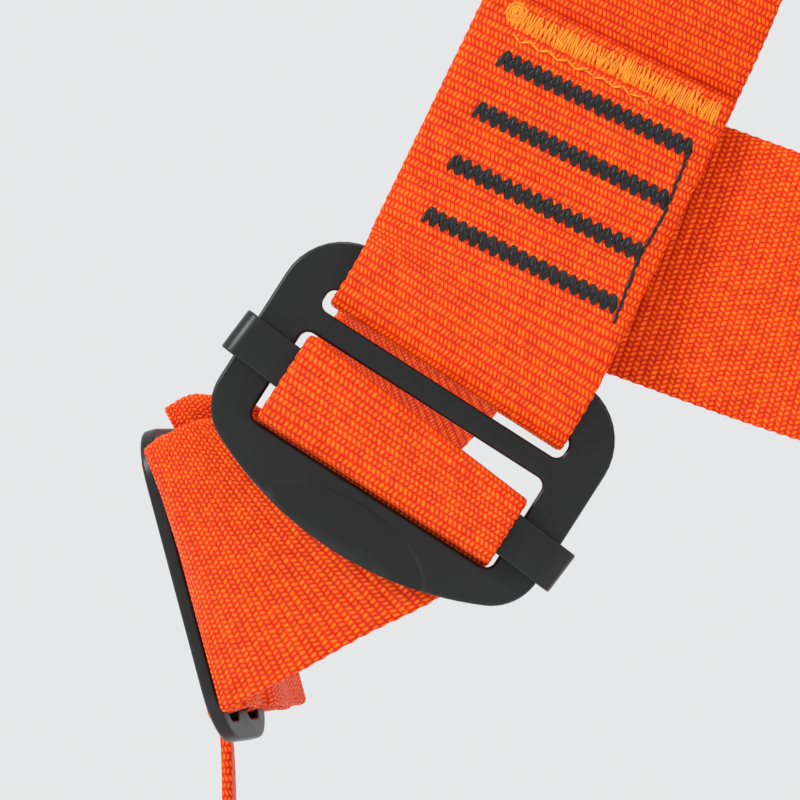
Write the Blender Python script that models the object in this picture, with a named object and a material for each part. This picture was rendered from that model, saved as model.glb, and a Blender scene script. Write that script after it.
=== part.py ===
"""Full body safety harness, standing in the shape it has when it is worn.

The origin lies midway between the shoulder straps where they rest on the wearer.
+X is the wearer's left, -Y the wearer's front and +Z up. Lengths below are in
millimetres and are turned into metres as each mesh is made.
"""

import math

import bmesh
import bpy
from mathutils import Matrix, Vector

MM = 0.001

# Webbing
WEB_WIDTH = 45.0
WEB_THICK = 1.8
HALF_WEB = WEB_THICK / 2
WEB_STEP = 14.0          # longest facet along a strap
TWISTED_STEP = 5.0       # the same on straps that twist
PLY_GAP = 0.4            # between two plies that are sewn together
PLY_PITCH = WEB_THICK + PLY_GAP

# Two-slot adjuster plate
PLATE_THICK = 3.0
PLATE_HALF_WIDTH = 30.9
PLATE_TOP = 22.6
PLATE_CORNER = 11.0
PLATE_FOOT_RADIUS = 60.0
PLATE_FOOT_CORNER = 9.0
SLOT_HALF_LENGTH = 23.4
SLOT_CORNER = 1.6
LOOP_SLOT = (9.7, 13.7)
BAR_SLOT = (-11.6, 5.6)
STAMP_CENTRE = (0.5, -21.5)
STAMP_RADII = (15.5, 7.7)
STAMP_DEPTH = 0.5
EDGE_ROUND = 0.5

# Floating bar
BAR_CENTRE = (0.3, -3.05)
BAR_SKEW = math.radians(-4.43)
BAR_WIDTH = 7.5
BAR_THICK = 1.8
BAR_FRONT = 2.75         # middle of the bar in front of the plate's mid plane
BAR_BACK = -2.8          # middle of its turned-in ends, behind the plate
HOOK_REACH = 32.55
HOOK_RADIUS = 1.8
HOOK_RETURN = 27.8

# Sewn loops
LOOP_RADIUS = 3.47
LOOP_RISE = 1.7          # from the bar's edge to the centre of the fold
LOOP_TAIL = 49.5
LEG_TAIL = 22.0
REAR_TAIL = 27.0
SHORT_TAIL = 14.0
LOOP_LEAN = 0.12         # sideways drift of the front strap for each millimetre

# Side plate
SIDE_HALF_WIDTH = 26.9
SIDE_HALF_DEPTH = 16.0
SIDE_THICK = 2.4
SIDE_FRONT_SLOT = (4.0, 10.5)
SIDE_REAR_SLOT = (-9.5, -2.5)
SIDE_CORNER = 9.0

# Chest buckle
TONGUE_HALF_HEIGHT = 27.5
TONGUE_RIGHT = 15.0
TONGUE_BAR = (25.0, 31.0)
FRAME_HALF_HEIGHT = 35.0
FRAME_LEFT = -17.0
FRAME_BAR = (21.5, 28.0)
FRAME_WINDOW = (-10.0, 11.0)
FRAME_WINDOW_HALF_HEIGHT = 28.5
BUCKLE_SLOT = 4.5
BUCKLE_STEP = 3.6        # the tongue lies this far in front of the frame

# Dorsal plate and ring
DORSAL_Z = -140.0
DORSAL_INNER = 126.5
DORSAL_THICK = 4.0
DORSAL_HALF_WIDTH = 42.0
DORSAL_HALF_HEIGHT = 48.0
DORSAL_CORNER = 22.0
DORSAL_SLOT = (3.4, 11.0)
RING_STOCK = 4.5
RING_GAP = 0.5
RING_HALF_WIDTH = 33.0
RING_CORNER = 9.0
RING_LENGTH = 38.0

# Leg loop
THIGH_CENTRE = Vector((-95.0, 0.0, -600.0))
THIGH_X = 78.0
THIGH_Y = 88.0
THIGH_TILT = 28.0

# Places of the plates on the wearer's right
HIP_PLATE = Vector((-135.0, -75.0, -330.0))
HIP_UP = Vector((0.539, 0.0, 0.842))
SIDE_PLATE = Vector((-169.1, -35.0, -355.3))
CHEST_BUCKLE = Vector((0.0, -106.0, -321.0))

COLOURS = {
    "webbing": ((0.95, 0.16, 0.03), 0.62, 0.0),
    "steel": ((0.02, 0.02, 0.022), 0.38, 0.6),
    "ring": ((0.62, 0.62, 0.64), 0.3, 1.0),
    "plastic": ((0.03, 0.03, 0.032), 0.5, 0.0),
    "elastic": ((0.04, 0.04, 0.045), 0.8, 0.0),
    "cover": ((0.08, 0.08, 0.09), 0.7, 0.0),
}


class Frame:
    """A place with three axes: x along a plate's slots, y across them, z outwards."""

    def __init__(self, origin, up, outward):
        self.origin = Vector(origin)
        self.z = Vector(outward).normalized()
        self.y = (Vector(up) - Vector(up).dot(self.z) * self.z).normalized()
        self.x = self.y.cross(self.z)

    def at(self, x, y, z=0.0):
        return self.origin + self.x * x + self.y * y + self.z * z

    def direction(self, x, y, z=0.0):
        return self.x * x + self.y * y + self.z * z

    def matrix(self):
        turn = Matrix((self.x, self.y, self.z)).transposed().to_4x4()
        return Matrix.Translation(self.origin * MM) @ turn


def clear_scene():
    for thing in list(bpy.data.objects):
        bpy.data.objects.remove(thing)


def new_collection(name):
    collection = bpy.data.collections.new(name)
    bpy.context.scene.collection.children.link(collection)
    return collection


def material(kind, node):
    colour, roughness, metallic = COLOURS[kind]
    made = bpy.data.materials.new(node + "_" + kind)
    made.use_nodes = True
    shader = made.node_tree.nodes["Principled BSDF"]
    shader.inputs["Base Color"].default_value = (*colour, 1.0)
    shader.inputs["Roughness"].default_value = roughness
    shader.inputs["Metallic"].default_value = metallic
    return made


def place(name, mesh, kind, pivot=None, smooth=None):
    """Adds a mesh whose points are in metres, with its origin on the pivot."""
    if pivot is not None:
        mesh.transform(Matrix.Translation(-pivot * MM))
    thing = bpy.data.objects.new(name, mesh)
    if pivot is not None:
        thing.location = pivot * MM
    PARTS.objects.link(thing)
    mesh.materials.clear()
    mesh.materials.append(material(kind, name))
    if smooth is not None:
        mesh.shade_smooth()
        mesh.set_sharp_from_angle(angle=smooth)
    return thing


def mirrored(point):
    return Vector((-point.x, point.y, point.z))


def mirror_route(route):
    """The same route on the wearer's left."""
    return [(mirrored(p), how, mirrored(v)) for p, how, v in route]


# ---------------------------------------------------------------- straps


def slopes(points):
    """Smooth direction at every point, for uneven spacing."""
    found = []
    for i, here in enumerate(points):
        if i == 0:
            found.append((points[1] - here).normalized())
        elif i == len(points) - 1:
            found.append((here - points[i - 1]).normalized())
        else:
            before, after = here - points[i - 1], points[i + 1] - here
            a, b = before.length, after.length
            found.append(before / a * (b / (a + b)) + after / b * (a / (a + b)))
    return found


def width_directions(route, along):
    """Each route point gives either its width direction or the way the strap faces."""
    sides = []
    for (_, how, vector), way in zip(route, along):
        side = vector if how == "side" else way.cross(vector)
        side = side.normalized()
        if sides and side.dot(sides[-1]) < 0:
            side = -side
        sides.append(side)
    return sides


def sample(route, step):
    """Points and width directions along one smooth curve through the route."""
    points = [p for p, _, _ in route]
    along = slopes(points)
    sides = width_directions(route, along)
    found = []
    for i in range(len(points) - 1):
        length = (points[i + 1] - points[i]).length
        count = max(1, math.ceil(length / step))
        for k in range(count):
            u = k / count
            point = (points[i] * (1 + 2 * u) * (1 - u) ** 2
                     + points[i + 1] * u * u * (3 - 2 * u)
                     + along[i] * length * u * (1 - u) ** 2
                     + along[i + 1] * length * u * u * (u - 1))
            found.append((point, sides[i].lerp(sides[i + 1], u).normalized()))
    found.append((points[-1], sides[-1]))
    return found


def ribbon_mesh(name, route, width, thick, step=WEB_STEP):
    """A flat strap of one width and thickness along a route."""
    stations = sample(route, step)
    ways = slopes([p for p, _ in stations])
    shape = bmesh.new()
    rings = []
    for (point, side), way in zip(stations, ways):
        face = side.cross(way).normalized()
        across, deep = side * width / 2, face * thick / 2
        corners = (point - across - deep, point + across - deep,
                   point + across + deep, point - across + deep)
        rings.append([shape.verts.new(corner * MM) for corner in corners])
    for one, two in zip(rings, rings[1:]):
        # Both broad faces are split along the same diagonal, so a twist keeps its thickness.
        for a, b, c, d in ((one[0], one[1], two[1], two[0]), (one[3], one[2], two[2], two[3]),
                           (one[1], one[2], two[2], two[1]), (one[0], one[3], two[3], two[0])):
            shape.faces.new((a, b, c))
            shape.faces.new((a, c, d))
    shape.faces.new(list(reversed(rings[0])))
    shape.faces.new(rings[-1])
    shape.normal_update()
    bmesh.ops.recalc_face_normals(shape, faces=shape.faces)
    mesh = bpy.data.meshes.new(name)
    shape.to_mesh(mesh)
    shape.free()
    return mesh


def ribbon(name, route, width=WEB_WIDTH, thick=WEB_THICK, kind="webbing", pivot=None, step=WEB_STEP):
    return place(name, ribbon_mesh(name, route, width, thick, step), kind, pivot)


def facing(point, outward):
    return (Vector(point), "out", Vector(outward))


def shifted(route, deep, across=0.0):
    """A route beside another one: deep along its facing, across along its width."""
    along = slopes([p for p, _, _ in route])
    sides = width_directions(route, along)
    moved = []
    for (point, _, _), way, side in zip(route, along, sides):
        face = side.cross(way).normalized()
        moved.append((point + face * deep + side * across, "side", side))
    return moved


def loop_route(frame, edge, far, tail, tail_face, lean=0.0, centre=0.2):
    """From a sewn tail's end, round a bar and back out to where the plies meet.

    The bar lies between edge and far on the frame's y axis. The tail lies on the
    side that tail_face gives: 1 for outside, -1 for the side next to the wearer.
    """
    ply = HALF_WEB + PLY_GAP / 2
    spread = ((far + 26.0, ply), (far + 14.0, ply + 0.25),
              (far + 6.0, LOOP_RADIUS - 0.7), (far + 0.5, LOOP_RADIUS))
    end = (far + tail, ply)
    sewn = [end] + [step for step in spread if step[0] < end[0] - 1.0]
    leaving = sewn if end[0] > spread[0][0] + 1.0 else spread
    route = []

    def add(y, z):
        drift = max(0.0, y - 20.0) * lean
        turn = lean if y > far + 2 else 0.0
        side = frame.direction(1.0, turn).normalized()
        route.append((frame.at(centre - drift, y, z), "side", side))

    for y, z in sewn:
        add(y, z * tail_face)
    fold_steps = 8
    for i in range(fold_steps + 1):
        angle = math.pi * i / fold_steps
        add(edge + LOOP_RISE - LOOP_RADIUS * math.sin(angle),
            LOOP_RADIUS * math.cos(angle) * tail_face)
    for y, z in reversed(leaving):
        add(y, -z * tail_face)
    return route


# ---------------------------------------------------------------- flat plates


def arc(cx, cy, radius, start, end, steps=4):
    """Points on an arc, angles in degrees."""
    found = []
    for i in range(steps + 1):
        angle = math.radians(start + (end - start) * i / steps)
        found.append((cx + radius * math.cos(angle), cy + radius * math.sin(angle)))
    return found


def rounded_box(x0, x1, y0, y1, radius, steps=3):
    return (arc(x1 - radius, y1 - radius, radius, 90, 0, steps)
            + arc(x1 - radius, y0 + radius, radius, 0, -90, steps)
            + arc(x0 + radius, y0 + radius, radius, -90, -180, steps)
            + arc(x0 + radius, y1 - radius, radius, 180, 90, steps))


def adjuster_outline():
    """Straight top, upright sides and a bulging foot, all joined by tangent arcs."""
    shoulder_x = PLATE_HALF_WIDTH - PLATE_CORNER
    shoulder_y = PLATE_TOP - PLATE_CORNER
    foot_y = PLATE_FOOT_RADIUS - PLATE_TOP
    corner_x = PLATE_HALF_WIDTH - PLATE_FOOT_CORNER
    reach = PLATE_FOOT_RADIUS - PLATE_FOOT_CORNER
    corner_y = foot_y - math.sqrt(reach ** 2 - corner_x ** 2)
    turn = math.degrees(math.atan2(corner_y - foot_y, corner_x))
    return (arc(shoulder_x, shoulder_y, PLATE_CORNER, 90, 0)
            + arc(corner_x, corner_y, PLATE_FOOT_CORNER, 0, turn)
            + arc(0, foot_y, PLATE_FOOT_RADIUS, turn, -180 - turn, 8)[1:]
            + arc(-corner_x, corner_y, PLATE_FOOT_CORNER, -180 - turn, -180)[1:]
            + arc(-shoulder_x, shoulder_y, PLATE_CORNER, 180, 90))


def plate_mesh(name, frame, outlines, thick, edge=EDGE_ROUND):
    """A flat sheet cut to the first outline, with the others as holes."""
    curve = bpy.data.curves.new(name, "CURVE")
    curve.dimensions = "2D"
    curve.fill_mode = "BOTH"
    curve.extrude = (thick / 2 - edge) * MM
    curve.bevel_depth = edge * MM
    curve.bevel_resolution = 0
    curve.offset = -edge * MM
    for outline in outlines:
        spline = curve.splines.new("POLY")
        spline.points.add(len(outline) - 1)
        for point, (x, y) in zip(spline.points, outline):
            point.co = (x * MM, y * MM, 0.0, 1.0)
        spline.use_cyclic_u = True
    flat = bpy.data.objects.new(name + "_flat", curve)
    bpy.context.scene.collection.objects.link(flat)
    flat.matrix_world = frame.matrix()
    bpy.context.view_layer.update()
    mesh = bpy.data.meshes.new_from_object(flat.evaluated_get(bpy.context.evaluated_depsgraph_get()))
    mesh.transform(flat.matrix_world)
    bpy.data.objects.remove(flat)
    shape = bmesh.new()
    shape.from_mesh(mesh)
    bmesh.ops.remove_doubles(shape, verts=shape.verts, dist=0.00001)
    bmesh.ops.recalc_face_normals(shape, faces=shape.faces)
    shape.to_mesh(mesh)
    shape.free()
    return mesh


def mirror_mesh(mesh):
    """Turns a piece for the right into the one for the left."""
    shape = bmesh.new()
    shape.from_mesh(mesh)
    for vert in shape.verts:
        vert.co.x = -vert.co.x
    shape.normal_update()
    bmesh.ops.recalc_face_normals(shape, faces=shape.faces)
    shape.to_mesh(mesh)
    shape.free()


def cutter(name, mesh):
    thing = bpy.data.objects.new(name, mesh)
    thing.hide_render = True
    thing.display_type = "WIRE"
    CUTTERS.objects.link(thing)
    return thing


def stamp_cutter(name, frame):
    """A shallow oval block that sinks the lower edge of an adjuster plate."""
    shape = bmesh.new()
    height = 4.0
    bmesh.ops.create_cone(shape, cap_ends=True, segments=28, radius1=1, radius2=1, depth=1)
    across, along = STAMP_RADII
    for vert in shape.verts:
        z = PLATE_THICK / 2 - STAMP_DEPTH + (vert.co.z + 0.5) * height
        vert.co = frame.at(STAMP_CENTRE[0] + vert.co.x * across,
                           STAMP_CENTRE[1] + vert.co.y * along, z) * MM
    shape.normal_update()
    bmesh.ops.recalc_face_normals(shape, faces=shape.faces)
    mesh = bpy.data.meshes.new(name)
    shape.to_mesh(mesh)
    shape.free()
    return mesh


def adjuster_plate(name, frame, left):
    """The stamped plate with a loop slot, a bar slot and a sunk oval."""
    slots = [rounded_box(-SLOT_HALF_LENGTH, SLOT_HALF_LENGTH, low, high, SLOT_CORNER)
             for low, high in (LOOP_SLOT, BAR_SLOT)]
    mesh = plate_mesh(name, frame, [adjuster_outline()] + slots, PLATE_THICK)
    oval = stamp_cutter(name + "_oval", frame)
    if left:
        mirror_mesh(mesh)
        mirror_mesh(oval)
    plate = place(name, mesh, "steel", smooth=math.radians(35))
    cut = plate.modifiers.new("oval", "BOOLEAN")
    cut.operation = "DIFFERENCE"
    cut.object = cutter(name + "_oval_cutter", oval)


# ---------------------------------------------------------------- floating bar and its webbing


def bar_frame(frame):
    """The bar's own frame, turned a little in the plate's plane."""
    way = frame.direction(-math.sin(BAR_SKEW), math.cos(BAR_SKEW))
    return Frame(frame.at(BAR_CENTRE[0], BAR_CENTRE[1]), way, frame.z)


def floating_bar_route(frame):
    """Half of the bar's bent strip, then its other half, in the x-z plane."""
    half = [(0.0, BAR_FRONT), (HOOK_REACH / 2, BAR_FRONT)]
    inner = HOOK_REACH - HOOK_RADIUS
    half.append((inner - 0.8, BAR_FRONT))
    half += arc(inner, BAR_FRONT - HOOK_RADIUS, HOOK_RADIUS, 90, 0, 4)
    half += arc(inner, BAR_BACK + HOOK_RADIUS, HOOK_RADIUS, 0, -90, 4)
    half.append((HOOK_RETURN, BAR_BACK))
    profile = [(-x, z) for x, z in reversed(half)] + half[1:]
    side = frame.direction(0, 1)
    return [(frame.at(x, 0, z), "side", side) for x, z in profile]


def wrap_route(frame):
    """The webbing's turn round the bar, from the foot of the slot and back into it."""
    turn = ((-9.6, 0.6), (-10.1, 2.2), (-9.9, 3.7), (-8.9, 4.8), (-6.0, 5.0), (-2.0, 5.0),
            (1.35, 4.65), (2.6, 3.3), (2.2, 1.9), (1.0, 0.9), (-0.8, 0.4), (-4.0, -0.5), (-6.6, -2.3))
    skewed = -0.085
    route = []
    for y, z in turn:
        lean = skewed * (y + 9.6) / 12.0
        route.append((frame.at(0.2, y, z), "side", frame.direction(1.0, lean)))
    return route


def adjuster(prefix, side, frame, left):
    """One plate, its floating bar and the webbing that wraps the bar."""
    adjuster_plate(f"{prefix}adjuster_plate_{side}", frame, left)
    bar = floating_bar_route(bar_frame(frame))
    wrap = wrap_route(frame)
    pivot = frame.at(BAR_CENTRE[0], BAR_CENTRE[1])
    if left:
        bar, wrap, pivot = mirror_route(bar), mirror_route(wrap), mirrored(pivot)
    ribbon(f"{prefix}floating_bar_{side}", bar, BAR_WIDTH, BAR_THICK, "steel", pivot)
    ribbon(f"{prefix}bar_wrap_{side}", wrap, pivot=pivot)


# ---------------------------------------------------------------- routes on the wearer's right


def hip_frame():
    return Frame(HIP_PLATE, HIP_UP, (0, -1, 0))


def side_frame():
    """The side plate stands nearly square to the front, its front bar a little outside."""
    slots = Vector((0.28, 0.04, -0.96))
    forward = Vector((-0.22, -0.975, 0.0))
    return Frame(SIDE_PLATE, forward, slots.cross(forward))


def rear_frame():
    """The side plate again, seen from the strap that comes round the back."""
    plate = side_frame()
    return Frame(plate.origin, -plate.y, plate.z)


def leg_frame():
    outward = Vector((-THIGH_X, 0.0, THIGH_TILT))
    origin = THIGH_CENTRE + Vector((0, -THIGH_Y - 2.0, 0))
    return Frame(origin, outward, (0, -1, 0))


def shoulder_route(layer=0.0):
    """Up the chest, over the shoulder and down to the crossing between the shoulders."""
    return [
        facing((-93.0, -79.0, -248.0), (-0.25, -1, 0)),
        facing((-80.0, -92.0, -207.0), (-0.25, -1, 0)),
        facing((-69.0, -106.0, -160.0), (-0.2, -1, 0)),
        facing((-66.0, -111.0, -115.0), (-0.15, -1, 0.05)),
        facing((-70.0, -100.0, -70.0), (-0.15, -1, 0.35)),
        facing((-77.0, -74.0, -32.0), (-0.15, -0.8, 0.8)),
        facing((-84.0, -38.0, -8.0), (-0.1, -0.35, 1)),
        facing((-86.0, 0.0, 1.3), (-0.1, 0, 1)),
        facing((-83.0, 34.0, -6.0), (-0.1, 0.35, 1)),
        facing((-74.0, 67.0, -26.0), (-0.1, 0.75, 0.8)),
        facing((-58.0, 95.0, -58.0), (-0.1, 1, 0.4)),
        facing((-32.0, 112.0 + layer, -96.0), (0, 1, 0.1)),
    ]


def back_route(layer):
    """From the crossing down to the side plate, for the strap that ends on the right."""
    centre = 118.0 + layer
    return [
        facing((0.0, centre, -130.0), (0, 1, 0)),
        facing((-38.0, centre - 1.5, -172.0), (0, 1, 0)),
        facing((-72.0, 112.0, -215.0), (-0.25, 1, 0)),
        facing((-97.0, 106.0, -257.0), (-0.4, 1, 0)),
        facing((-107.0, 101.0, -277.0), (-0.6, 1, 0)),
        facing((-122.0, 91.0, -304.0), (-1, 0.7, 0)),
        facing((-143.0, 73.0, -328.0), (-1, 0.35, 0)),
        facing((-153.0, 54.0, -340.5), (-1, 0.3, 0)),
        facing((-159.0, 30.0, -348.5), (-1, 0.15, 0)),
    ]


def main_strap_route(layer):
    """Front loop, shoulder, crossing, then the far side's back and rear loop."""
    front = loop_route(hip_frame(), LOOP_SLOT[1], PLATE_TOP, LOOP_TAIL, 1, LOOP_LEAN)
    rear = loop_route(rear_frame(), -SIDE_REAR_SLOT[0], SIDE_HALF_DEPTH, REAR_TAIL, -1)
    over = shoulder_route(layer) + mirror_route(back_route(layer))
    return front + over + mirror_route(list(reversed(rear)))


def side_fold_route():
    """Inside the side plate's front bar, out round its middle bar and back inside."""
    plate = side_frame()
    centre = SIDE_REAR_SLOT[1] + LOOP_RISE
    profile = [(20.0, -3.2), (16.0, -3.4), (12.5, -3.6), (10.2, -2.6), (7.25, 0.0), (4.3, 2.6),
               (2.3, 3.4), (0.6, LOOP_RADIUS)]
    fold_steps = 8
    for i in range(fold_steps + 1):
        angle = math.pi * i / fold_steps
        profile.append((centre - LOOP_RADIUS * math.sin(angle), LOOP_RADIUS * math.cos(angle)))
    profile += [(3.0, -3.7), (8.0, -5.0), (12.5, -6.1), (16.0, -5.9), (20.0, -5.7)]
    return [(plate.at(-0.2, y, z), "side", plate.direction(1, 0)) for y, z in profile]


def side_strap_route():
    """From behind the hip plate's foot to its loop in the side plate."""
    hip = hip_frame()
    start = [
        (hip.at(0.2, -11.0, -3.0), "side", hip.direction(1, 0)),
        (HIP_PLATE + Vector((-12.0, 4.6, -12.2)), "side", Vector((0.74, -0.05, -0.67))),
        (HIP_PLATE + Vector((-20.5, 7.4, -15.3)), "side", Vector((0.62, 0.0, -0.79))),
        (HIP_PLATE + Vector((-29.0, 11.2, -19.8)), "side", Vector((0.47, 0.0, -0.88))),
        (HIP_PLATE + Vector((-34.6, 16.0, -23.0)), "side", Vector((0.37, 0.02, -0.93))),
    ]
    inner = shifted(start, PLY_PITCH + 0.3)[3:]
    return start + side_fold_route() + list(reversed(inner))


def side_tail_route():
    """The free end of the side strap, lying behind it and a little higher."""
    beside = side_strap_route()[:4]
    return shifted(beside, 2 * PLY_PITCH + 0.6, -4.0)


def thigh_point(angle):
    """A point on the tilted ring of the thigh, and the way it faces."""
    across, along = math.cos(angle), math.sin(angle)
    point = THIGH_CENTRE + Vector((THIGH_X * across, THIGH_Y * along, -THIGH_TILT * across))
    return facing(point, (across / THIGH_X, along / THIGH_Y, 0))


def leg_strap_route():
    plate = leg_frame()
    route = loop_route(plate, LOOP_SLOT[1], PLATE_TOP, LEG_TAIL, 1)
    for degrees in range(-128, -416, -24):
        route.append(thigh_point(math.radians(degrees)))
    for y, z in ((-30.0, -4.4), (-20.0, -3.6), (-14.0, -3.2), (-11.0, -3.0)):
        route.append((plate.at(0.2, y, z), "side", plate.direction(1, 0)))
    return route


def leg_tail_route():
    end = leg_strap_route()[-8:]
    return shifted(end, -PLY_PITCH - 0.4)


def riser_route():
    """The strap that carries a leg loop, edge on when seen from the front."""
    return [
        facing((-174.0, 18.0, -341.0), (-0.94, 0, -0.34)),
        facing((-169.0, 19.0, -362.0), (-0.94, 0, -0.3)),
        facing((-166.0, 18.0, -382.0), (-1, 0, 0)),
        facing((-165.5, 15.0, -402.0), (-1, 0, 0)),
        facing((-167.5, 10.0, -440.0), (-1, 0, 0)),
        facing((-170.5, 5.0, -500.0), (-1, 0, 0)),
        facing((-176.3, 1.0, -545.0), (-1, 0, 0)),
        facing((-176.6, 0.0, -588.0), (-1, 0, 0)),
    ]


def chest_strap_route():
    """From behind the front strap, down to the buckle and round its bar."""
    start = [
        facing((-115.0, -68.6, -291.6), (0, -1, 0)),
        facing((-95.0, -69.4, -298.8), (-0.1, -1, 0)),
        facing((-71.0, -76.0, -307.5), (-0.35, -1, 0)),
        facing((-55.0, -85.0, -312.8), (-0.45, -1, 0)),
    ]
    buckle = Frame(CHEST_BUCKLE + Vector((0, -BUCKLE_STEP, 0)), (-1, 0, 0.0), (0, -1, 0))
    loop = loop_route(buckle, TONGUE_BAR[0], TONGUE_BAR[1], SHORT_TAIL, -1)
    return start + list(reversed(loop))[3:]


def chest_frame_strap_route():
    """The same strap on the wearer's left, which ends on the buckle's frame."""
    start = [
        facing((115.0, -68.6, -291.6), (0, -1, 0)),
        facing((95.0, -69.4, -298.8), (0.1, -1, 0)),
        facing((71.0, -76.0, -307.5), (0.35, -1, 0)),
        facing((52.0, -87.0, -313.8), (0.45, -1, 0)),
    ]
    buckle = Frame(CHEST_BUCKLE, (1, 0, 0), (0, -1, 0))
    loop = loop_route(buckle, FRAME_BAR[0], FRAME_BAR[1], SHORT_TAIL, -1)
    return start + list(reversed(loop))[3:]


def seat_strap_route():
    half = [
        facing((-122.0, 86.5, -591.0), (-0.2, 1, 0)),
        facing((-95.0, 91.4, -596.0), (-0.1, 1, 0)),
        facing((-48.0, 98.0, -597.5), (0, 1, 0)),
    ]
    middle = [facing((0.0, 100.0, -597.5), (0, 1, 0))]
    return half + middle + list(reversed(mirror_route(half)))


# ---------------------------------------------------------------- pieces


def main_straps():
    ribbon("main_strap_right", main_strap_route(0.0))
    ribbon("main_strap_left", mirror_route(main_strap_route(PLY_PITCH + 1.6)))


def hip_pieces(side, left):
    turn = mirror_route if left else (lambda route: route)
    adjuster("", side, hip_frame(), left)
    ribbon(f"side_strap_{side}", turn(side_strap_route()), step=TWISTED_STEP)
    ribbon(f"side_tail_{side}", turn(side_tail_route()), step=TWISTED_STEP)
    side_plate(f"side_plate_{side}", left)


def side_plate(name, left):
    half, depth = SIDE_HALF_WIDTH, SIDE_HALF_DEPTH
    length = SLOT_HALF_LENGTH
    outlines = [rounded_box(-half, half, -depth, depth, SIDE_CORNER)]
    for low, high in (SIDE_FRONT_SLOT, SIDE_REAR_SLOT):
        outlines.append(rounded_box(-length, length, low, high, SLOT_CORNER))
    mesh = plate_mesh(name, side_frame(), outlines, SIDE_THICK)
    if left:
        mirror_mesh(mesh)
    place(name, mesh, "steel", smooth=math.radians(35))


def leg_pieces(side, left):
    turn = mirror_route if left else (lambda route: route)
    adjuster("leg_", side, leg_frame(), left)
    ribbon(f"leg_riser_{side}", turn(riser_route()))
    ribbon(f"leg_strap_{side}", turn(leg_strap_route()))
    ribbon(f"leg_tail_{side}", turn(leg_tail_route()))


def keeper(name, route, station, depth, inward, left):
    """A band round a strap and its tail; depth is the stack that it holds."""
    point, _, _ = route[station]
    along = slopes([p for p, _, _ in route])[station]
    side = width_directions(route, slopes([p for p, _, _ in route]))[station]
    face = side.cross(along).normalized()
    middle = point + face * inward
    band = Frame(middle, side, along)
    wall = 1.4
    clear_x, clear_y = depth / 2 + 0.7, WEB_WIDTH / 2 + 0.9
    outlines = [rounded_box(-clear_x - wall, clear_x + wall, -clear_y - wall, clear_y + wall, 2.0),
                rounded_box(-clear_x, clear_x, -clear_y, clear_y, 0.8)]
    mesh = plate_mesh(name, band, outlines, 9.0, 0.4)
    if left:
        mirror_mesh(mesh)
        middle = mirrored(middle)
    place(name, mesh, "elastic", middle, math.radians(35))


def chest_pieces():
    ribbon("chest_strap_right", chest_strap_route(), step=TWISTED_STEP)
    ribbon("chest_strap_left", chest_frame_strap_route(), step=TWISTED_STEP)
    tongue = Frame(CHEST_BUCKLE + Vector((0, -BUCKLE_STEP, 0)), (-1, 0, 0), (0, -1, 0))
    low, far = TONGUE_BAR
    outlines = [rounded_box(-TONGUE_HALF_HEIGHT, TONGUE_HALF_HEIGHT, -TONGUE_RIGHT, far, 6.0),
                rounded_box(-SLOT_HALF_LENGTH, SLOT_HALF_LENGTH, low - BUCKLE_SLOT, low, SLOT_CORNER)]
    mesh = plate_mesh("chest_buckle_tongue", tongue, outlines, PLATE_THICK)
    hinge = tongue.at(0, (low + far) / 2)
    place("chest_buckle_tongue", mesh, "steel", hinge, math.radians(35))
    frame = Frame(CHEST_BUCKLE, (1, 0, 0), (0, -1, 0))
    low, far = FRAME_BAR
    window = FRAME_WINDOW_HALF_HEIGHT
    outlines = [rounded_box(-FRAME_HALF_HEIGHT, FRAME_HALF_HEIGHT, FRAME_LEFT, far, 8.0),
                rounded_box(-window, window, FRAME_WINDOW[0], FRAME_WINDOW[1], 3.0),
                rounded_box(-SLOT_HALF_LENGTH, SLOT_HALF_LENGTH, low - BUCKLE_SLOT, low, SLOT_CORNER)]
    mesh = plate_mesh("chest_buckle_frame", frame, outlines, PLATE_THICK)
    place("chest_buckle_frame", mesh, "steel", smooth=math.radians(35))


def ring_centre():
    return Vector((0.0, DORSAL_INNER + DORSAL_THICK + RING_GAP + RING_STOCK, DORSAL_Z))


def ring_outline():
    """A D that hangs from its straight bar."""
    wide, corner = RING_HALF_WIDTH, RING_CORNER
    top = arc(wide - corner, -corner, corner, 90, 0, 4) + arc(corner - wide, -corner, corner, 180, 90, 4)
    bow = arc(0, -RING_LENGTH, wide, -180, 0, 16)
    return top[5:] + top[:5] + list(reversed(bow))


def dorsal_ring():
    centre = ring_centre()
    curve = bpy.data.curves.new("dorsal_ring", "CURVE")
    curve.dimensions = "3D"
    curve.bevel_depth = RING_STOCK * MM
    curve.bevel_resolution = 2
    outline = ring_outline()
    spline = curve.splines.new("POLY")
    spline.points.add(len(outline) - 1)
    for point, (x, z) in zip(spline.points, outline):
        point.co = (x * MM, 0.0, z * MM, 1.0)
    spline.use_cyclic_u = True
    bent = bpy.data.objects.new("dorsal_ring_path", curve)
    bpy.context.scene.collection.objects.link(bent)
    bpy.context.view_layer.update()
    mesh = bpy.data.meshes.new_from_object(bent.evaluated_get(bpy.context.evaluated_depsgraph_get()))
    bpy.data.objects.remove(bent)
    ring = place("dorsal_ring", mesh, "ring", smooth=math.radians(60))
    ring.location = centre * MM


def ring_loop():
    """A short webbing loop through the dorsal plate that holds the ring's bar."""
    centre = ring_centre()
    behind = DORSAL_INNER - PLY_GAP - HALF_WEB - 0.2
    reach = RING_STOCK + PLY_GAP + HALF_WEB
    half = [(24.0, behind), (14.0, behind), (10.2, behind + 0.15), (7.6, behind + 1.3),
            (6.2, DORSAL_INNER + 2.1)]
    half.append((reach, DORSAL_INNER + DORSAL_THICK + 1.0))
    profile = [(y, z) for z, y in half]
    profile += [(centre.y + y, z) for y, z in arc(0, 0, reach, 90, -90, 8)]
    profile += [(y, -z) for z, y in reversed(half)]
    route = [(Vector((0, y, DORSAL_Z + z)), "side", Vector((1, 0, 0))) for y, z in profile]
    ribbon("ring_loop", route)


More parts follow.
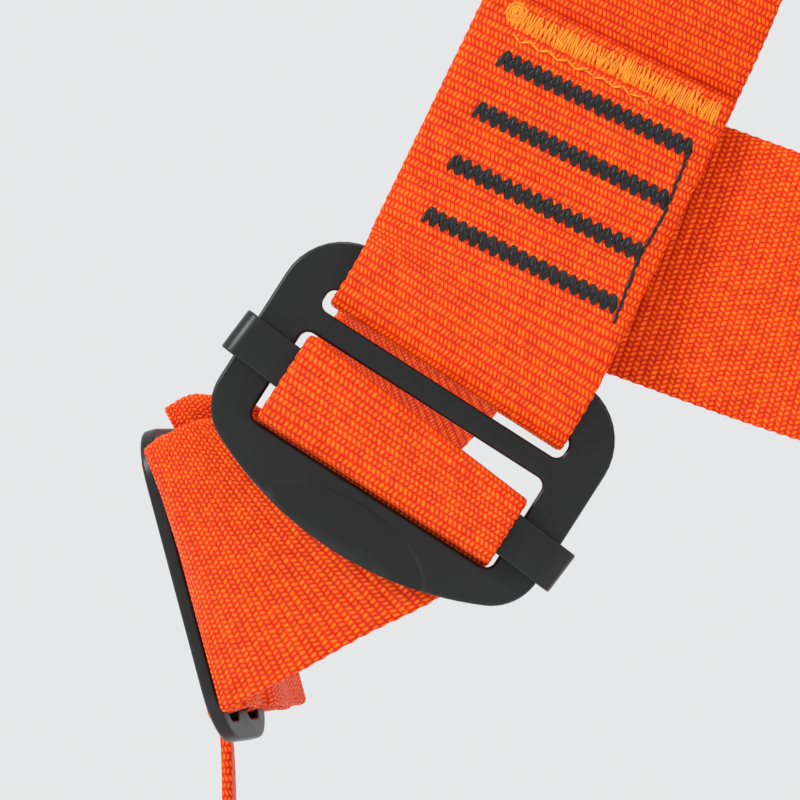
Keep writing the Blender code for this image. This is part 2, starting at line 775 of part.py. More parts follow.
def dorsal_pieces():
    middle = Vector((0, DORSAL_INNER + DORSAL_THICK / 2, DORSAL_Z))
    frame = Frame(middle, (0, 0, 1), (0, 1, 0))
    low, high = DORSAL_SLOT
    length = SLOT_HALF_LENGTH
    wide, tall = DORSAL_HALF_WIDTH, DORSAL_HALF_HEIGHT
    outlines = [rounded_box(-wide, wide, -tall, tall, DORSAL_CORNER, 6),
                rounded_box(-length, length, low, high, SLOT_CORNER),
                rounded_box(-length, length, -high, -low, SLOT_CORNER)]
    mesh = plate_mesh("dorsal_plate", frame, outlines, DORSAL_THICK, 0.9)
    place("dorsal_plate", mesh, "plastic", smooth=math.radians(35))
    dorsal_ring()
    ring_loop()


def label_cover():
    """A small fabric cover sewn on the left shoulder strap, over the chest."""
    strap = mirror_route(shoulder_route()[2:5])
    ribbon("label_cover", shifted(strap, HALF_WEB + 3.2), 47.0, 3.0, "cover")


def build():
    main_straps()
    for side, left in (("right", False), ("left", True)):
        hip_pieces(side, left)
        leg_pieces(side, left)
        keeper(f"leg_keeper_{side}", leg_strap_route(), -6, 2 * PLY_PITCH, -1.2, left)
    chest_pieces()
    dorsal_pieces()
    ribbon("seat_strap", seat_strap_route())
    label_cover()


clear_scene()
PARTS = new_collection("safety_harness")
CUTTERS = new_collection("cutters")
build()
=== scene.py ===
import math
import bmesh
import bpy
import numpy as np
from mathutils import Matrix, Vector


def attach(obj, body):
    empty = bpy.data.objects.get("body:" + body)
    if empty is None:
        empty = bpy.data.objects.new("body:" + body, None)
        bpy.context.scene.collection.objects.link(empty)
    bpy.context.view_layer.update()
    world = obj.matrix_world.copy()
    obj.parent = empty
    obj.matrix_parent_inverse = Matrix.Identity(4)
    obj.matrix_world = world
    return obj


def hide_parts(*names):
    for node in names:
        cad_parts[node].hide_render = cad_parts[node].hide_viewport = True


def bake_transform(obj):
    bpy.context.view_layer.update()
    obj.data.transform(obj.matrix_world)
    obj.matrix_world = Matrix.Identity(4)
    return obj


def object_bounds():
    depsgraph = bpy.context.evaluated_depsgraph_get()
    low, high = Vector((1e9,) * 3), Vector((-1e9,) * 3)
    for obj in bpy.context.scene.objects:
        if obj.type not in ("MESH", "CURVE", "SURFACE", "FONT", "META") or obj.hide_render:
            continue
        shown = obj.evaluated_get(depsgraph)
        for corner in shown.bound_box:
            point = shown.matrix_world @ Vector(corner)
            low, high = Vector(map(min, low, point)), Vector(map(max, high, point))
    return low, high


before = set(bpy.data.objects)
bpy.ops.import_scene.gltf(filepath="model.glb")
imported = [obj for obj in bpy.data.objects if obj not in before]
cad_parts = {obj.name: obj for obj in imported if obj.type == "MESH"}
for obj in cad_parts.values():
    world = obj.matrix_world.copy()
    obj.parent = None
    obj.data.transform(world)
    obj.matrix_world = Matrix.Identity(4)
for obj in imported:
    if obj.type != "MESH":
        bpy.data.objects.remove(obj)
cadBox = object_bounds()
mm = 0.001
print("frame loaded")

# sizes shared with the CAD model, in millimetres
web = {"width": 45.0, "thick": 1.8, "plyGap": 0.4, "crossGap": 1.6}
plate = {"thick": 3.0, "halfWidth": 30.9, "top": 22.6, "corner": 11.0, "footRadius": 60.0,
         "footCorner": 9.0, "slotHalf": 23.4, "slotCorner": 1.6, "loopSlot": (9.7, 13.7),
         "barSlot": (-11.6, 5.6), "edge": 0.55, "ovalCentre": (0.5, -21.5), "ovalRadii": (15.5, 7.7),
         "ovalDepth": 0.5}
bar = {"centre": (0.3, -3.05), "skew": math.radians(-4.43), "width": 7.5, "thick": 1.8,
       "front": 2.75, "back": -2.8, "reach": 32.55, "radius": 1.8, "turnIn": 27.8, "edge": 0.35,
       "step": 1.2}
loop = {"radius": 3.47, "rise": 1.7, "tail": 49.5, "legTail": 22.0, "rearTail": 27.0,
        "shortTail": 14.0, "lean": 0.12}
sidePlateSize = {"halfWidth": 26.9, "halfDepth": 16.0, "thick": 2.4, "frontSlot": (4.0, 10.5),
                 "rearSlot": (-9.5, -2.5), "corner": 9.0}
buckle = {"tongueHalf": 27.5, "tongueRight": 15.0, "tongueBar": (25.0, 31.0), "frameHalf": 35.0,
          "frameLeft": -17.0, "frameBar": (21.5, 28.0), "window": (-10.0, 11.0),
          "windowHalf": 28.5, "slot": 4.5, "step": 3.6, "tongueCorner": 6.0, "frameCorner": 8.0,
          "windowCorner": 3.0}
dorsal = {"z": -140.0, "inner": 126.5, "thick": 4.0, "stock": 4.5, "gap": 0.5}
thigh = {"centre": Vector((-95.0, 0.0, -600.0)), "x": 78.0, "y": 88.0, "tilt": 28.0}
place = {"hip": Vector((-135.0, -75.0, -330.0)), "hipUp": Vector((0.539, 0.0, 0.842)),
         "side": Vector((-169.1, -35.0, -355.3)), "chest": Vector((0.0, -106.0, -321.0))}
halfWeb = web["thick"] / 2
plyPitch = web["thick"] + web["plyGap"]
rootBody = "webbing"


class Spot:
    # x along a plate's slots, y across them, z outwards
    def __init__(self, origin, up, outward):
        self.origin = Vector(origin)
        self.z = Vector(outward).normalized()
        self.y = (Vector(up) - Vector(up).dot(self.z) * self.z).normalized()
        self.x = self.y.cross(self.z)

    def at(self, x, y, z=0.0):
        return self.origin + self.x * x + self.y * y + self.z * z

    def way(self, x, y, z=0.0):
        return self.x * x + self.y * y + self.z * z

    def matrix(self):
        turn = Matrix((self.x, self.y, self.z)).transposed().to_4x4()
        return Matrix.Translation(self.origin * mm) @ turn


def mirrored(point):
    return Vector((-point.x, point.y, point.z))


def mirrorRoute(route):
    return [(mirrored(p), how, mirrored(v)) for p, how, v in route]


sideways = (("right", lambda route: route), ("left", mirrorRoute))


def slopes(points):
    # forward ways at the points, each weighted towards its nearer neighbour
    found = []
    for i, here in enumerate(points):
        if i == 0:
            found.append((points[1] - here).normalized())
        elif i == len(points) - 1:
            found.append((here - points[i - 1]).normalized())
        else:
            before, after = here - points[i - 1], points[i + 1] - here
            a, b = before.length, after.length
            found.append(before / a * (b / (a + b)) + after / b * (a / (a + b)))
    return found


def widthWays(route, along):
    ways = []
    for (_, how, vector), forward in zip(route, along):
        across = vector if how == "side" else forward.cross(vector)
        across = across.normalized()
        if ways and across.dot(ways[-1]) < 0:
            across = -across
        ways.append(across)
    return ways


def facing(point, outward):
    return (Vector(point), "out", Vector(outward))


def shifted(route, deep, across=0.0):
    along = slopes([p for p, _, _ in route])
    sides = widthWays(route, along)
    moved = []
    for (point, _, _), forward, side in zip(route, along, sides):
        face = side.cross(forward).normalized()
        moved.append((point + face * deep + side * across, "side", side))
    return moved


def loopRoute(spot, edge, far, tail, tailFace, lean=0.0, centre=0.2):
    # from the sewn tail's end, round the bar and out to where the plies meet
    ply = halfWeb + web["plyGap"] / 2
    spread = ((far + 26.0, ply), (far + 14.0, ply + 0.25),
              (far + 6.0, loop["radius"] - 0.7), (far + 0.5, loop["radius"]))
    end = (far + tail, ply)
    sewn = [end] + [step for step in spread if step[0] < end[0] - 1.0]
    leaving = sewn if end[0] > spread[0][0] + 1.0 else spread
    route = []

    def add(y, z):
        drift = max(0.0, y - 20.0) * lean
        turn = lean if y > far + 2 else 0.0
        route.append((spot.at(centre - drift, y, z), "side", spot.way(1.0, turn).normalized()))

    for y, z in sewn:
        add(y, z * tailFace)
    steps = 8
    for i in range(steps + 1):
        angle = math.pi * i / steps
        add(edge + loop["rise"] - loop["radius"] * math.sin(angle),
            loop["radius"] * math.cos(angle) * tailFace)
    for y, z in reversed(leaving):
        add(y, -z * tailFace)
    return route


hipSpot = Spot(place["hip"], place["hipUp"], (0, -1, 0))
slotsWay, forwardWay = Vector((0.28, 0.04, -0.96)), Vector((-0.22, -0.975, 0.0))
sideSpot = Spot(place["side"], forwardWay, slotsWay.cross(forwardWay))
rearSpot = Spot(place["side"], -sideSpot.y, sideSpot.z)
legSpot = Spot(thigh["centre"] + Vector((0, -thigh["y"] - 2.0, 0)),
               Vector((-thigh["x"], 0.0, thigh["tilt"])), (0, -1, 0))
tongueSpot = Spot(place["chest"] + Vector((0, -buckle["step"], 0)), (-1, 0, 0), (0, -1, 0))
frameSpot = Spot(place["chest"], (1, 0, 0), (0, -1, 0))
barSpot = {}
for key, spot in (("hip", hipSpot), ("leg", legSpot)):
    up = spot.way(-math.sin(bar["skew"]), math.cos(bar["skew"]))
    barSpot[key] = Spot(spot.at(*bar["centre"]), up, spot.z)


def shoulderRoute(layer=0.0):
    return [
        facing((-93, -79, -248), (-0.25, -1, 0)),
        facing((-80, -92, -207), (-0.25, -1, 0)),
        facing((-69, -106, -160), (-0.2, -1, 0)),
        facing((-66, -111, -115), (-0.15, -1, 0.05)),
        facing((-70, -100, -70), (-0.15, -1, 0.35)),
        facing((-77, -74, -32), (-0.15, -0.8, 0.8)),
        facing((-84, -38, -8), (-0.1, -0.35, 1)),
        facing((-86, 0, 1.3), (-0.1, 0, 1)),
        facing((-83, 34, -6), (-0.1, 0.35, 1)),
        facing((-74, 67, -26), (-0.1, 0.75, 0.8)),
        facing((-58, 95, -58), (-0.1, 1, 0.4)),
        facing((-32, 112 + layer, -96), (0, 1, 0.1)),
    ]


def backRoute(layer):
    centre = 118.0 + layer
    return [
        facing((0, centre, -130), (0, 1, 0)),
        facing((-38, centre - 1.5, -172), (0, 1, 0)),
        facing((-72, 112, -215), (-0.25, 1, 0)),
        facing((-97, 106, -257), (-0.4, 1, 0)),
        facing((-107, 101, -277), (-0.6, 1, 0)),
        facing((-122, 91, -304), (-1, 0.7, 0)),
        facing((-143, 73, -328), (-1, 0.35, 0)),
        facing((-153, 54, -340.5), (-1, 0.3, 0)),
        facing((-159, 30, -348.5), (-1, 0.15, 0)),
    ]


def mainStrapRoute(layer):
    front = loopRoute(hipSpot, plate["loopSlot"][1], plate["top"], loop["tail"], 1, loop["lean"])
    rear = loopRoute(rearSpot, -sidePlateSize["rearSlot"][0], sidePlateSize["halfDepth"],
                     loop["rearTail"], -1)
    return front + shoulderRoute(layer) + mirrorRoute(backRoute(layer)) + mirrorRoute(rear[::-1])


def sideFoldRoute():
    centre = sidePlateSize["rearSlot"][1] + loop["rise"]
    profile = [(20.0, -3.2), (16.0, -3.4), (12.5, -3.6), (10.2, -2.6), (7.25, 0.0), (4.3, 2.6),
               (2.3, 3.4), (0.6, loop["radius"])]
    steps = 8
    for i in range(steps + 1):
        angle = math.pi * i / steps
        profile.append((centre - loop["radius"] * math.sin(angle), loop["radius"] * math.cos(angle)))
    profile += [(3.0, -3.7), (8.0, -5.0), (12.5, -6.1), (16.0, -5.9), (20.0, -5.7)]
    return [(sideSpot.at(-0.2, y, z), "side", sideSpot.way(1, 0)) for y, z in profile]


def sideStrapRoute():
    start = [
        (hipSpot.at(0.2, -11.0, -3.0), "side", hipSpot.way(1, 0)),
        (place["hip"] + Vector((-12.0, 4.6, -12.2)), "side", Vector((0.74, -0.05, -0.67))),
        (place["hip"] + Vector((-20.5, 7.4, -15.3)), "side", Vector((0.62, 0.0, -0.79))),
        (place["hip"] + Vector((-29.0, 11.2, -19.8)), "side", Vector((0.47, 0.0, -0.88))),
        (place["hip"] + Vector((-34.6, 16.0, -23.0)), "side", Vector((0.37, 0.02, -0.93))),
    ]
    inner = shifted(start, plyPitch + 0.3)[3:]
    return start + sideFoldRoute() + inner[::-1]


def sideTailRoute():
    return shifted(sideStrapRoute()[:4], 2 * plyPitch + 0.6, -4.0)


def wrapRoute(spot):
    turn = ((-9.6, 0.6), (-10.1, 2.2), (-9.9, 3.7), (-8.9, 4.8), (-6.0, 5.0), (-2.0, 5.0),
            (1.35, 4.65), (2.6, 3.3), (2.2, 1.9), (1.0, 0.9), (-0.8, 0.4), (-4.0, -0.5), (-6.6, -2.3))
    lean, low, rise = -0.085, turn[0][0], 12.0  # the webbing skews as it climbs to the bar
    return [(spot.at(0.2, y, z), "side", spot.way(1.0, lean * (y - low) / rise)) for y, z in turn]


def thighPoint(angle):
    across, along = math.cos(angle), math.sin(angle)
    offset = Vector((thigh["x"] * across, thigh["y"] * along, -thigh["tilt"] * across))
    return facing(thigh["centre"] + offset, (across / thigh["x"], along / thigh["y"], 0))


def legStrapRoute():
    route = loopRoute(legSpot, plate["loopSlot"][1], plate["top"], loop["legTail"], 1)
    for degrees in range(-128, -416, -24):
        route.append(thighPoint(math.radians(degrees)))
    for y, z in ((-30.0, -4.4), (-20.0, -3.6), (-14.0, -3.2), (-11.0, -3.0)):
        route.append((legSpot.at(0.2, y, z), "side", legSpot.way(1, 0)))
    return route


def legTailRoute():
    return shifted(legStrapRoute()[-8:], -plyPitch - 0.4)


def riserRoute():
    return [
        facing((-174, 18, -341), (-0.94, 0, -0.34)),
        facing((-169, 19, -362), (-0.94, 0, -0.3)),
        facing((-166, 18, -382), (-1, 0, 0)),
        facing((-165.5, 15, -402), (-1, 0, 0)),
        facing((-167.5, 10, -440), (-1, 0, 0)),
        facing((-170.5, 5, -500), (-1, 0, 0)),
        facing((-176.3, 1, -545), (-1, 0, 0)),
        facing((-176.6, 0, -588), (-1, 0, 0)),
    ]


def chestStrapRoute(spot, low, far, sign, last):
    start = [
        facing((-115 * sign, -68.6, -291.6), (0, -1, 0)),
        facing((-95 * sign, -69.4, -298.8), (-0.1 * sign, -1, 0)),
        facing((-71 * sign, -76, -307.5), (-0.35 * sign, -1, 0)),
        facing((last[0] * sign, last[1], last[2]), (-0.45 * sign, -1, 0)),
    ]
    ending = loopRoute(spot, low, far, loop["shortTail"], -1)
    return start + ending[::-1][3:]


def seatStrapRoute():
    half = [
        facing((-122, 86.5, -591), (-0.2, 1, 0)),
        facing((-95, 91.4, -596), (-0.1, 1, 0)),
        facing((-48, 98, -597.5), (0, 1, 0)),
    ]
    middle = [facing((0.0, 100.0, -597.5), (0, 1, 0))]
    return half + middle + mirrorRoute(half)[::-1]


def ringCentre():
    return Vector((0.0, dorsal["inner"] + dorsal["thick"] + dorsal["gap"] + dorsal["stock"], dorsal["z"]))


def ringLoopRoute():
    centre = ringCentre()
    behind = dorsal["inner"] - web["plyGap"] - halfWeb - 0.2
    reach = dorsal["stock"] + web["plyGap"] + halfWeb
    half = [(24.0, behind), (14.0, behind), (10.2, behind + 0.15), (7.6, behind + 1.3),
            (6.2, dorsal["inner"] + 2.1), (reach, dorsal["inner"] + dorsal["thick"] + 1.0)]
    profile = [(y, z) for z, y in half]
    for i in range(9):
        angle = math.radians(90 - 180 * i / 8)
        profile.append((centre.y + reach * math.cos(angle), reach * math.sin(angle)))
    profile += [(y, -z) for z, y in half[::-1]]
    return [(Vector((0, y, dorsal["z"] + z)), "side", Vector((1, 0, 0))) for y, z in profile]


def sampleRoute(route, step):
    # arrays of places, width ways, forward ways and faces, and the distance run
    points = [p for p, _, _ in route]
    along = slopes(points)
    sides = widthWays(route, along)
    where, across = [], []
    for i in range(len(points) - 1):
        length = (points[i + 1] - points[i]).length
        count = max(1, math.ceil(length / step))
        for k in range(count):
            u = k / count
            where.append(points[i] * (1 + 2 * u) * (1 - u) ** 2 + points[i + 1] * u * u * (3 - 2 * u)
                         + along[i] * length * u * (1 - u) ** 2
                         + along[i + 1] * length * u * u * (u - 1))
            across.append(sides[i].lerp(sides[i + 1], u).normalized())
    where.append(points[-1])
    across.append(sides[-1])
    at = np.array([tuple(p) for p in where])
    side = np.array([tuple(s) for s in across])
    forward = np.gradient(at, axis=0)
    forward /= np.linalg.norm(forward, axis=1)[:, None]
    face = np.cross(side, forward)
    face /= np.linalg.norm(face, axis=1)[:, None]
    run = np.concatenate([[0], np.cumsum(np.linalg.norm(np.diff(at, axis=0), axis=1))])
    return {"at": at, "side": side, "forward": forward, "face": face, "run": run}


strapLook = {"fine": 0.7, "coarse": 1.05, "wrap": 0.5, "legWrap": 0.6, "columns": 16, "rim": 4,
             "rimWidth": 2.0, "rib": 2.1, "scallop": 0.12, "ripple": 0.035, "mapScale": 0.01}


def strapProfile(width, thick):
    # one turn round the section: (x, z, distance across the web)
    half, rimHalf = width / 2, thick / 2
    columns, rim = strapLook["columns"], strapLook["rim"]
    inner = half - rimHalf * 0.8
    top = [(-inner + 2 * inner * i / columns, rimHalf) for i in range(columns + 1)]
    turn = [math.pi * (0.5 - (i + 1) / (rim + 1)) for i in range(rim)]
    right = [(inner + rimHalf * 0.8 * math.cos(a), rimHalf * math.sin(a)) for a in turn]
    bottom = [(-x, -z) for x, z in top]
    left = [(-x, -z) for x, z in right]
    points = top + right + bottom + left
    found, far = [], half - inner
    for i, (x, z) in enumerate(points):
        if i:
            far += math.dist(points[i - 1], (x, z))
        found.append((x, z, far))
    return found


def rings(data, x, z):
    # a ring of points in metres at each place, from distances across and out of the face
    return (data["at"][:, None, :] + data["side"][:, None, :] * x[..., None]
            + data["face"][:, None, :] * z[..., None]) * mm


def skinMesh(name, verts):
    # a closed skin over rings of points, with a flat cap at each end
    n, m = verts.shape[:2]
    index = np.arange(n * m).reshape(n, m)
    around = np.roll(index, -1, axis=1)
    quads = np.stack([index[:-1], around[:-1], around[1:], index[1:]], axis=2).reshape(-1, 4)
    caps = [list(index[0][::-1]), list(index[-1])]
    mesh = bpy.data.meshes.new(name)
    mesh.from_pydata(verts.reshape(-1, 3).tolist(), [], quads.tolist() + caps)
    return mesh


def strapMesh(name, route, step, width=web["width"], thick=web["thick"]):
    # the map "weave" holds the distances across and along the web
    data = sampleRoute(route, step)
    profile = strapProfile(width, thick)
    x = np.array([p[0] for p in profile])
    z = np.array([p[1] for p in profile])
    run = data["run"]
    wave = np.abs(np.sin(math.pi * run / strapLook["rib"]))
    rimWidth = strapLook["rimWidth"]
    rim = np.clip((np.abs(x) - (width / 2 - rimWidth)) / rimWidth, 0, 1)
    inward = 1 - rim[None, :] * (1 - wave[:, None]) * strapLook["scallop"] / (width / 2) * 2
    swell = 1 + (wave[:, None] - 0.5) * strapLook["ripple"] / (thick / 2) * 2
    n, m = len(run), len(profile)
    mesh = skinMesh(name, rings(data, x[None, :] * inward, z[None, :] * swell))
    around = profile[-1][2] + math.dist(profile[-1][:2], profile[0][:2])
    u = np.array([p[2] for p in profile] + [around])
    uv = np.zeros(((n - 1) * m, 4, 2))
    column = np.tile(np.arange(m), n - 1)
    row = np.repeat(np.arange(n - 1), m)
    for corner, (dc, dr) in enumerate(((0, 0), (1, 0), (1, 1), (0, 1))):
        uv[:, corner, 0] = u[column + dc]
        uv[:, corner, 1] = run[row + dr]
    flat = np.concatenate([uv.reshape(-1, 2), np.zeros((2 * m, 2))]) * strapLook["mapScale"]
    layer = mesh.uv_layers.new(name="weave")
    layer.data.foreach_set("uv", flat.astype(np.float32).ravel())
    fixOutward(mesh)
    mesh.shade_smooth()
    return mesh, data


def fixOutward(mesh):
    shape = bmesh.new()
    shape.from_mesh(mesh)
    intoMesh(shape, mesh)


def intoMesh(shape, mesh, mirror=False):
    # turns every face outwards, and mirrors the shape to the wearer's left if asked
    if mirror:
        for vert in shape.verts:
            vert.co.x = -vert.co.x
    shape.normal_update()
    bmesh.ops.recalc_face_normals(shape, faces=shape.faces)
    shape.to_mesh(mesh)
    shape.free()


def newObject(name, data):
    thing = bpy.data.objects.new(name, data)
    bpy.context.scene.collection.objects.link(thing)
    return thing


def plainMesh(thing):
    # the object's evaluated shape as a mesh; the object itself goes
    bpy.context.view_layer.update()
    done = bpy.data.meshes.new_from_object(thing.evaluated_get(bpy.context.evaluated_depsgraph_get()))
    bpy.data.objects.remove(thing)
    return done


def addPiece(name, mesh, material, body, nodes=()):
    # a piece given no body stays unattached here
    piece = newObject(name, mesh)
    mesh.materials.clear()
    mesh.materials.append(material)
    if body:
        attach(piece, body)
    if nodes:
        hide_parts(*nodes)
    return piece


class Wiring:
    # short calls for building a node tree
    def __init__(self, tree):
        self.tree = tree

    def node(self, kind, feeds=None, **settings):
        # feeds are links or values for the node's inputs
        made = self.tree.nodes.new(kind)
        for key, value in settings.items():
            setattr(made, key, value)
        for key, value in (feeds or {}).items():
            self.feed(made.inputs[key], value)
        return made

    def feed(self, socket, value):
        if isinstance(value, bpy.types.NodeSocket):
            self.tree.links.new(value, socket)
        else:
            socket.default_value = value

    def math(self, operation, *values):
        return self.node("ShaderNodeMath", dict(enumerate(values)), operation=operation).outputs[0]

    def times(self, a, b):
        return self.math("MULTIPLY", a, b)

    def plus(self, a, b):
        return self.math("ADD", a, b)

    def minus(self, a, b):
        return self.math("SUBTRACT", a, b)

    def ramp(self, value, stops):
        made = self.node("ShaderNodeValToRGB")
        while len(made.color_ramp.elements) < len(stops):
            made.color_ramp.elements.new(0.5)
        for element, (spot, colour) in zip(made.color_ramp.elements, stops):
            element.position = spot
            element.color = (*colour, 1.0)
        self.feed(made.inputs[0], value)
        return made.outputs[0]

    def noise(self, vector, scale, detail, roughness):
        feeds = {"Vector": vector, "Scale": scale, "Detail": detail, "Roughness": roughness}
        return self.node("ShaderNodeTexNoise", feeds).outputs["Fac"]


def newGroup(name, inputs, outputs):
    # every socket is a number, apart from the input called Vector
    tree = bpy.data.node_groups.new(name, "ShaderNodeTree")
    for label, value in inputs.items():
        kind = "NodeSocketVector" if label == "Vector" else "NodeSocketFloat"
        socket = tree.interface.new_socket(name=label, in_out="INPUT", socket_type=kind)
        if value is not None:
            socket.default_value = value
    for label in outputs:
        tree.interface.new_socket(name=label, in_out="OUTPUT", socket_type="NodeSocketFloat")
    wire = Wiring(tree)
    return wire, wire.node("NodeGroupInput"), wire.node("NodeGroupOutput")


def weaveGroup():
    # rows of slanted yarn floats, two rows to a rib, from distances across and along the web
    inputs = {"Across": None, "Along": None, "Row": 1.05, "Float": 0.78, "Slant": 0.42, "Rib": 0.35,
              "Slip": 0.3}
    wire, given, result = newGroup("webWeave", inputs, ("Height", "Top", "Yarn"))
    across, along, rowPitch, floatPitch, slant, rib, slip = given.outputs[:7]
    rows = wire.math("DIVIDE", along, rowPitch)
    inRow = wire.math("FRACT", rows)
    rowIndex = wire.math("FLOOR", rows)
    odd = wire.math("MODULO", rowIndex, 2.0)
    turn = wire.minus(wire.times(odd, 2.0), 1.0)
    lean = wire.times(wire.times(wire.minus(inRow, 0.5), slant), wire.plus(turn, 0.35))
    stepped = wire.plus(wire.math("DIVIDE", across, floatPitch), wire.times(odd, 0.5))
    rowChance = wire.node("ShaderNodeTexWhiteNoise", {"W": rowIndex}, noise_dimensions="1D")
    stepped = wire.plus(stepped, wire.times(rowChance.outputs["Value"], slip))
    leaning = wire.plus(stepped, lean)
    inFloat = wire.math("FRACT", leaning)
    cell = wire.node("ShaderNodeCombineXYZ", {"X": wire.math("FLOOR", leaning), "Y": rowIndex}).outputs[0]
    yarnChance = wire.node("ShaderNodeTexWhiteNoise", {"Vector": cell}, noise_dimensions="2D")
    bulge = wire.math("SINE", wire.times(inFloat, math.pi))
    length = wire.math("SINE", wire.times(inRow, math.pi))
    yarn = wire.times(wire.math("POWER", bulge, 0.8), wire.math("POWER", length, 0.6))
    ribWave = wire.math("SINE", wire.times(wire.math("DIVIDE", rows, 2.0), math.pi))
    ribbed = wire.times(wire.math("ABSOLUTE", ribWave), rib)
    total = wire.plus(yarn, ribbed)
    wire.feed(result.inputs["Height"], total)
    # Top marks the float tops, where the colour paints a highlight, with painted shade in the gaps
    wire.feed(result.inputs["Top"], wire.math("POWER", yarn, 1.4))
    wire.feed(result.inputs["Yarn"], wire.minus(yarnChance.outputs["Value"], 0.5))
    return wire.tree


def dustGroup():
    # broad drift and fine grain, both from -0.5 to 0.5
    inputs = {"Vector": None, "Broad": 30.0, "Fine": 900.0}
    wire, given, result = newGroup("driftGrain", inputs, ("Drift", "Grain"))
    for label, scale in (("Drift", "Broad"), ("Grain", "Fine")):
        noise = wire.noise(given.outputs["Vector"], given.outputs[scale], 4.0, 0.5)
        wire.feed(result.inputs[label], wire.minus(noise, 0.5))
    return wire.tree


def edgeGlintGroup():
    # a mask of exposed edges, broken up by noise, where a painted highlight goes
    inputs = {"Vector": None, "Start": 0.52, "End": 0.6, "Amount": 0.5}
    wire, given, result = newGroup("paintedEdgeGlint", inputs, ("Mask",))
    sharp = wire.node("ShaderNodeNewGeometry").outputs["Pointiness"]
    noise = wire.noise(given.outputs["Vector"], 260.0, 4.0, 0.7)
    broken = wire.plus(sharp, wire.times(wire.minus(noise, 0.5), 0.06))
    feeds = {"Value": broken, "From Min": given.outputs["Start"], "From Max": given.outputs["End"]}
    span = wire.node("ShaderNodeMapRange", feeds)
    wire.feed(result.inputs["Mask"], wire.times(span.outputs[0], given.outputs["Amount"]))
    return wire.tree


weaveTree, dustTree, edgeGlintTree = weaveGroup(), dustGroup(), edgeGlintGroup()


def newMaterial(name, roughness, metallic=0.0, fixed=None):
    # fixed values go on the shader's own sockets
    made = bpy.data.materials.new(name)
    made.use_nodes = True
    wire = Wiring(made.node_tree)
    shader = made.node_tree.nodes["Principled BSDF"]
    shader.inputs["Roughness"].default_value = roughness
    shader.inputs["Metallic"].default_value = metallic
    for label, value in (fixed or {}).items():
        shader.inputs[label].default_value = value
    return made, wire, shader


def placeGroup(wire, tree, **values):
    return wire.node("ShaderNodeGroup", values, node_tree=tree)


def addBump(wire, shader, height, strength, distance):
    # distance is the depth in metres
    feeds = {"Height": height, "Strength": strength, "Distance": distance}
    wire.feed(shader.inputs["Normal"], wire.node("ShaderNodeBump", feeds).outputs[0])


# the first colour is painted shade for the gaps between yarn floats, the last a painted highlight on the
# float tops
def webbingMaterial(name, deep, middle, topHighlight, row, floatPitch, slant, rib, bump=0.55):
    made, wire, shader = newMaterial(name, 0.5, fixed={
        "Sheen Weight": 0.04, "Sheen Roughness": 0.4, "Sheen Tint": (1.0, 0.55, 0.35, 1.0),
        "Specular IOR Level": 0.14})
    uv = wire.node("ShaderNodeUVMap", uv_map="weave")
    split = wire.node("ShaderNodeSeparateXYZ", {0: uv.outputs[0]})
    across = wire.times(split.outputs["X"], 1 / strapLook["mapScale"])
    along = wire.times(split.outputs["Y"], 1 / strapLook["mapScale"])
    point = wire.node("ShaderNodeTexCoord").outputs["Object"]
    drift = placeGroup(wire, dustTree, Vector=point, Broad=45.0, Fine=1500.0)
    wobbleAcross = wire.plus(across, wire.times(drift.outputs["Drift"], 0.35))
    wobbleAlong = wire.plus(along, wire.times(drift.outputs["Grain"], 0.1))
    weave = placeGroup(wire, weaveTree, Across=wobbleAcross, Along=wobbleAlong, Row=row,
                       Float=floatPitch, Slant=slant, Rib=rib)
    # colour runs from painted shade in the gaps to a painted highlight on the float tops, plus real random
    # yarn and grain tone
    tone = wire.plus(weave.outputs["Top"], wire.times(drift.outputs["Grain"], 0.5))
    tone = wire.plus(tone, wire.times(weave.outputs["Yarn"], 0.32))
    colour = wire.ramp(tone, ((0.0, deep), (0.5, middle), (1.0, topHighlight)))
    wire.feed(shader.inputs["Base Color"], colour)
    rough = wire.plus(0.56, wire.times(weave.outputs["Top"], -0.16))
    wire.feed(shader.inputs["Roughness"], rough)
    addBump(wire, shader, weave.outputs["Height"], bump, 0.00035)
    return made


def hardMaterial(name, base, glintColour, roughness, metallic, glintAmount):
    made, wire, shader = newMaterial(name, roughness, metallic, {"Specular IOR Level": 0.34})
    point = wire.node("ShaderNodeTexCoord").outputs["Object"]
    drift = placeGroup(wire, dustTree, Vector=point, Broad=60.0, Fine=2600.0)
    mask = placeGroup(wire, edgeGlintTree, Vector=point, Start=0.53, End=0.62, Amount=glintAmount)
    # sharp edges take the lighter second colour as a painted highlight
    mix = wire.node("ShaderNodeMix", {0: mask.outputs[0], 6: base, 7: glintColour}, data_type="RGBA")
    wire.feed(shader.inputs["Base Color"], mix.outputs[2])
    rough = wire.plus(roughness, wire.times(drift.outputs["Drift"], 0.18))
    wire.feed(shader.inputs["Roughness"], rough)
    addBump(wire, shader, drift.outputs["Grain"], 0.12, 0.00008)
    return made


def threadMaterial(name, dark, light, roughness):
    made, wire, shader = newMaterial(name, roughness, fixed={"Specular IOR Level": 0.3})
    point = wire.node("ShaderNodeTexCoord").outputs["Object"]
    grain = placeGroup(wire, dustTree, Vector=point, Broad=700.0, Fine=5200.0)
    tone = wire.plus(wire.plus(grain.outputs["Grain"], 0.5),
                     wire.times(grain.outputs["Drift"], 0.6))
    wire.feed(shader.inputs["Base Color"], wire.ramp(tone, ((0.25, dark), (0.75, light))))
    addBump(wire, shader, grain.outputs["Grain"], 0.5, 0.0001)
    return made
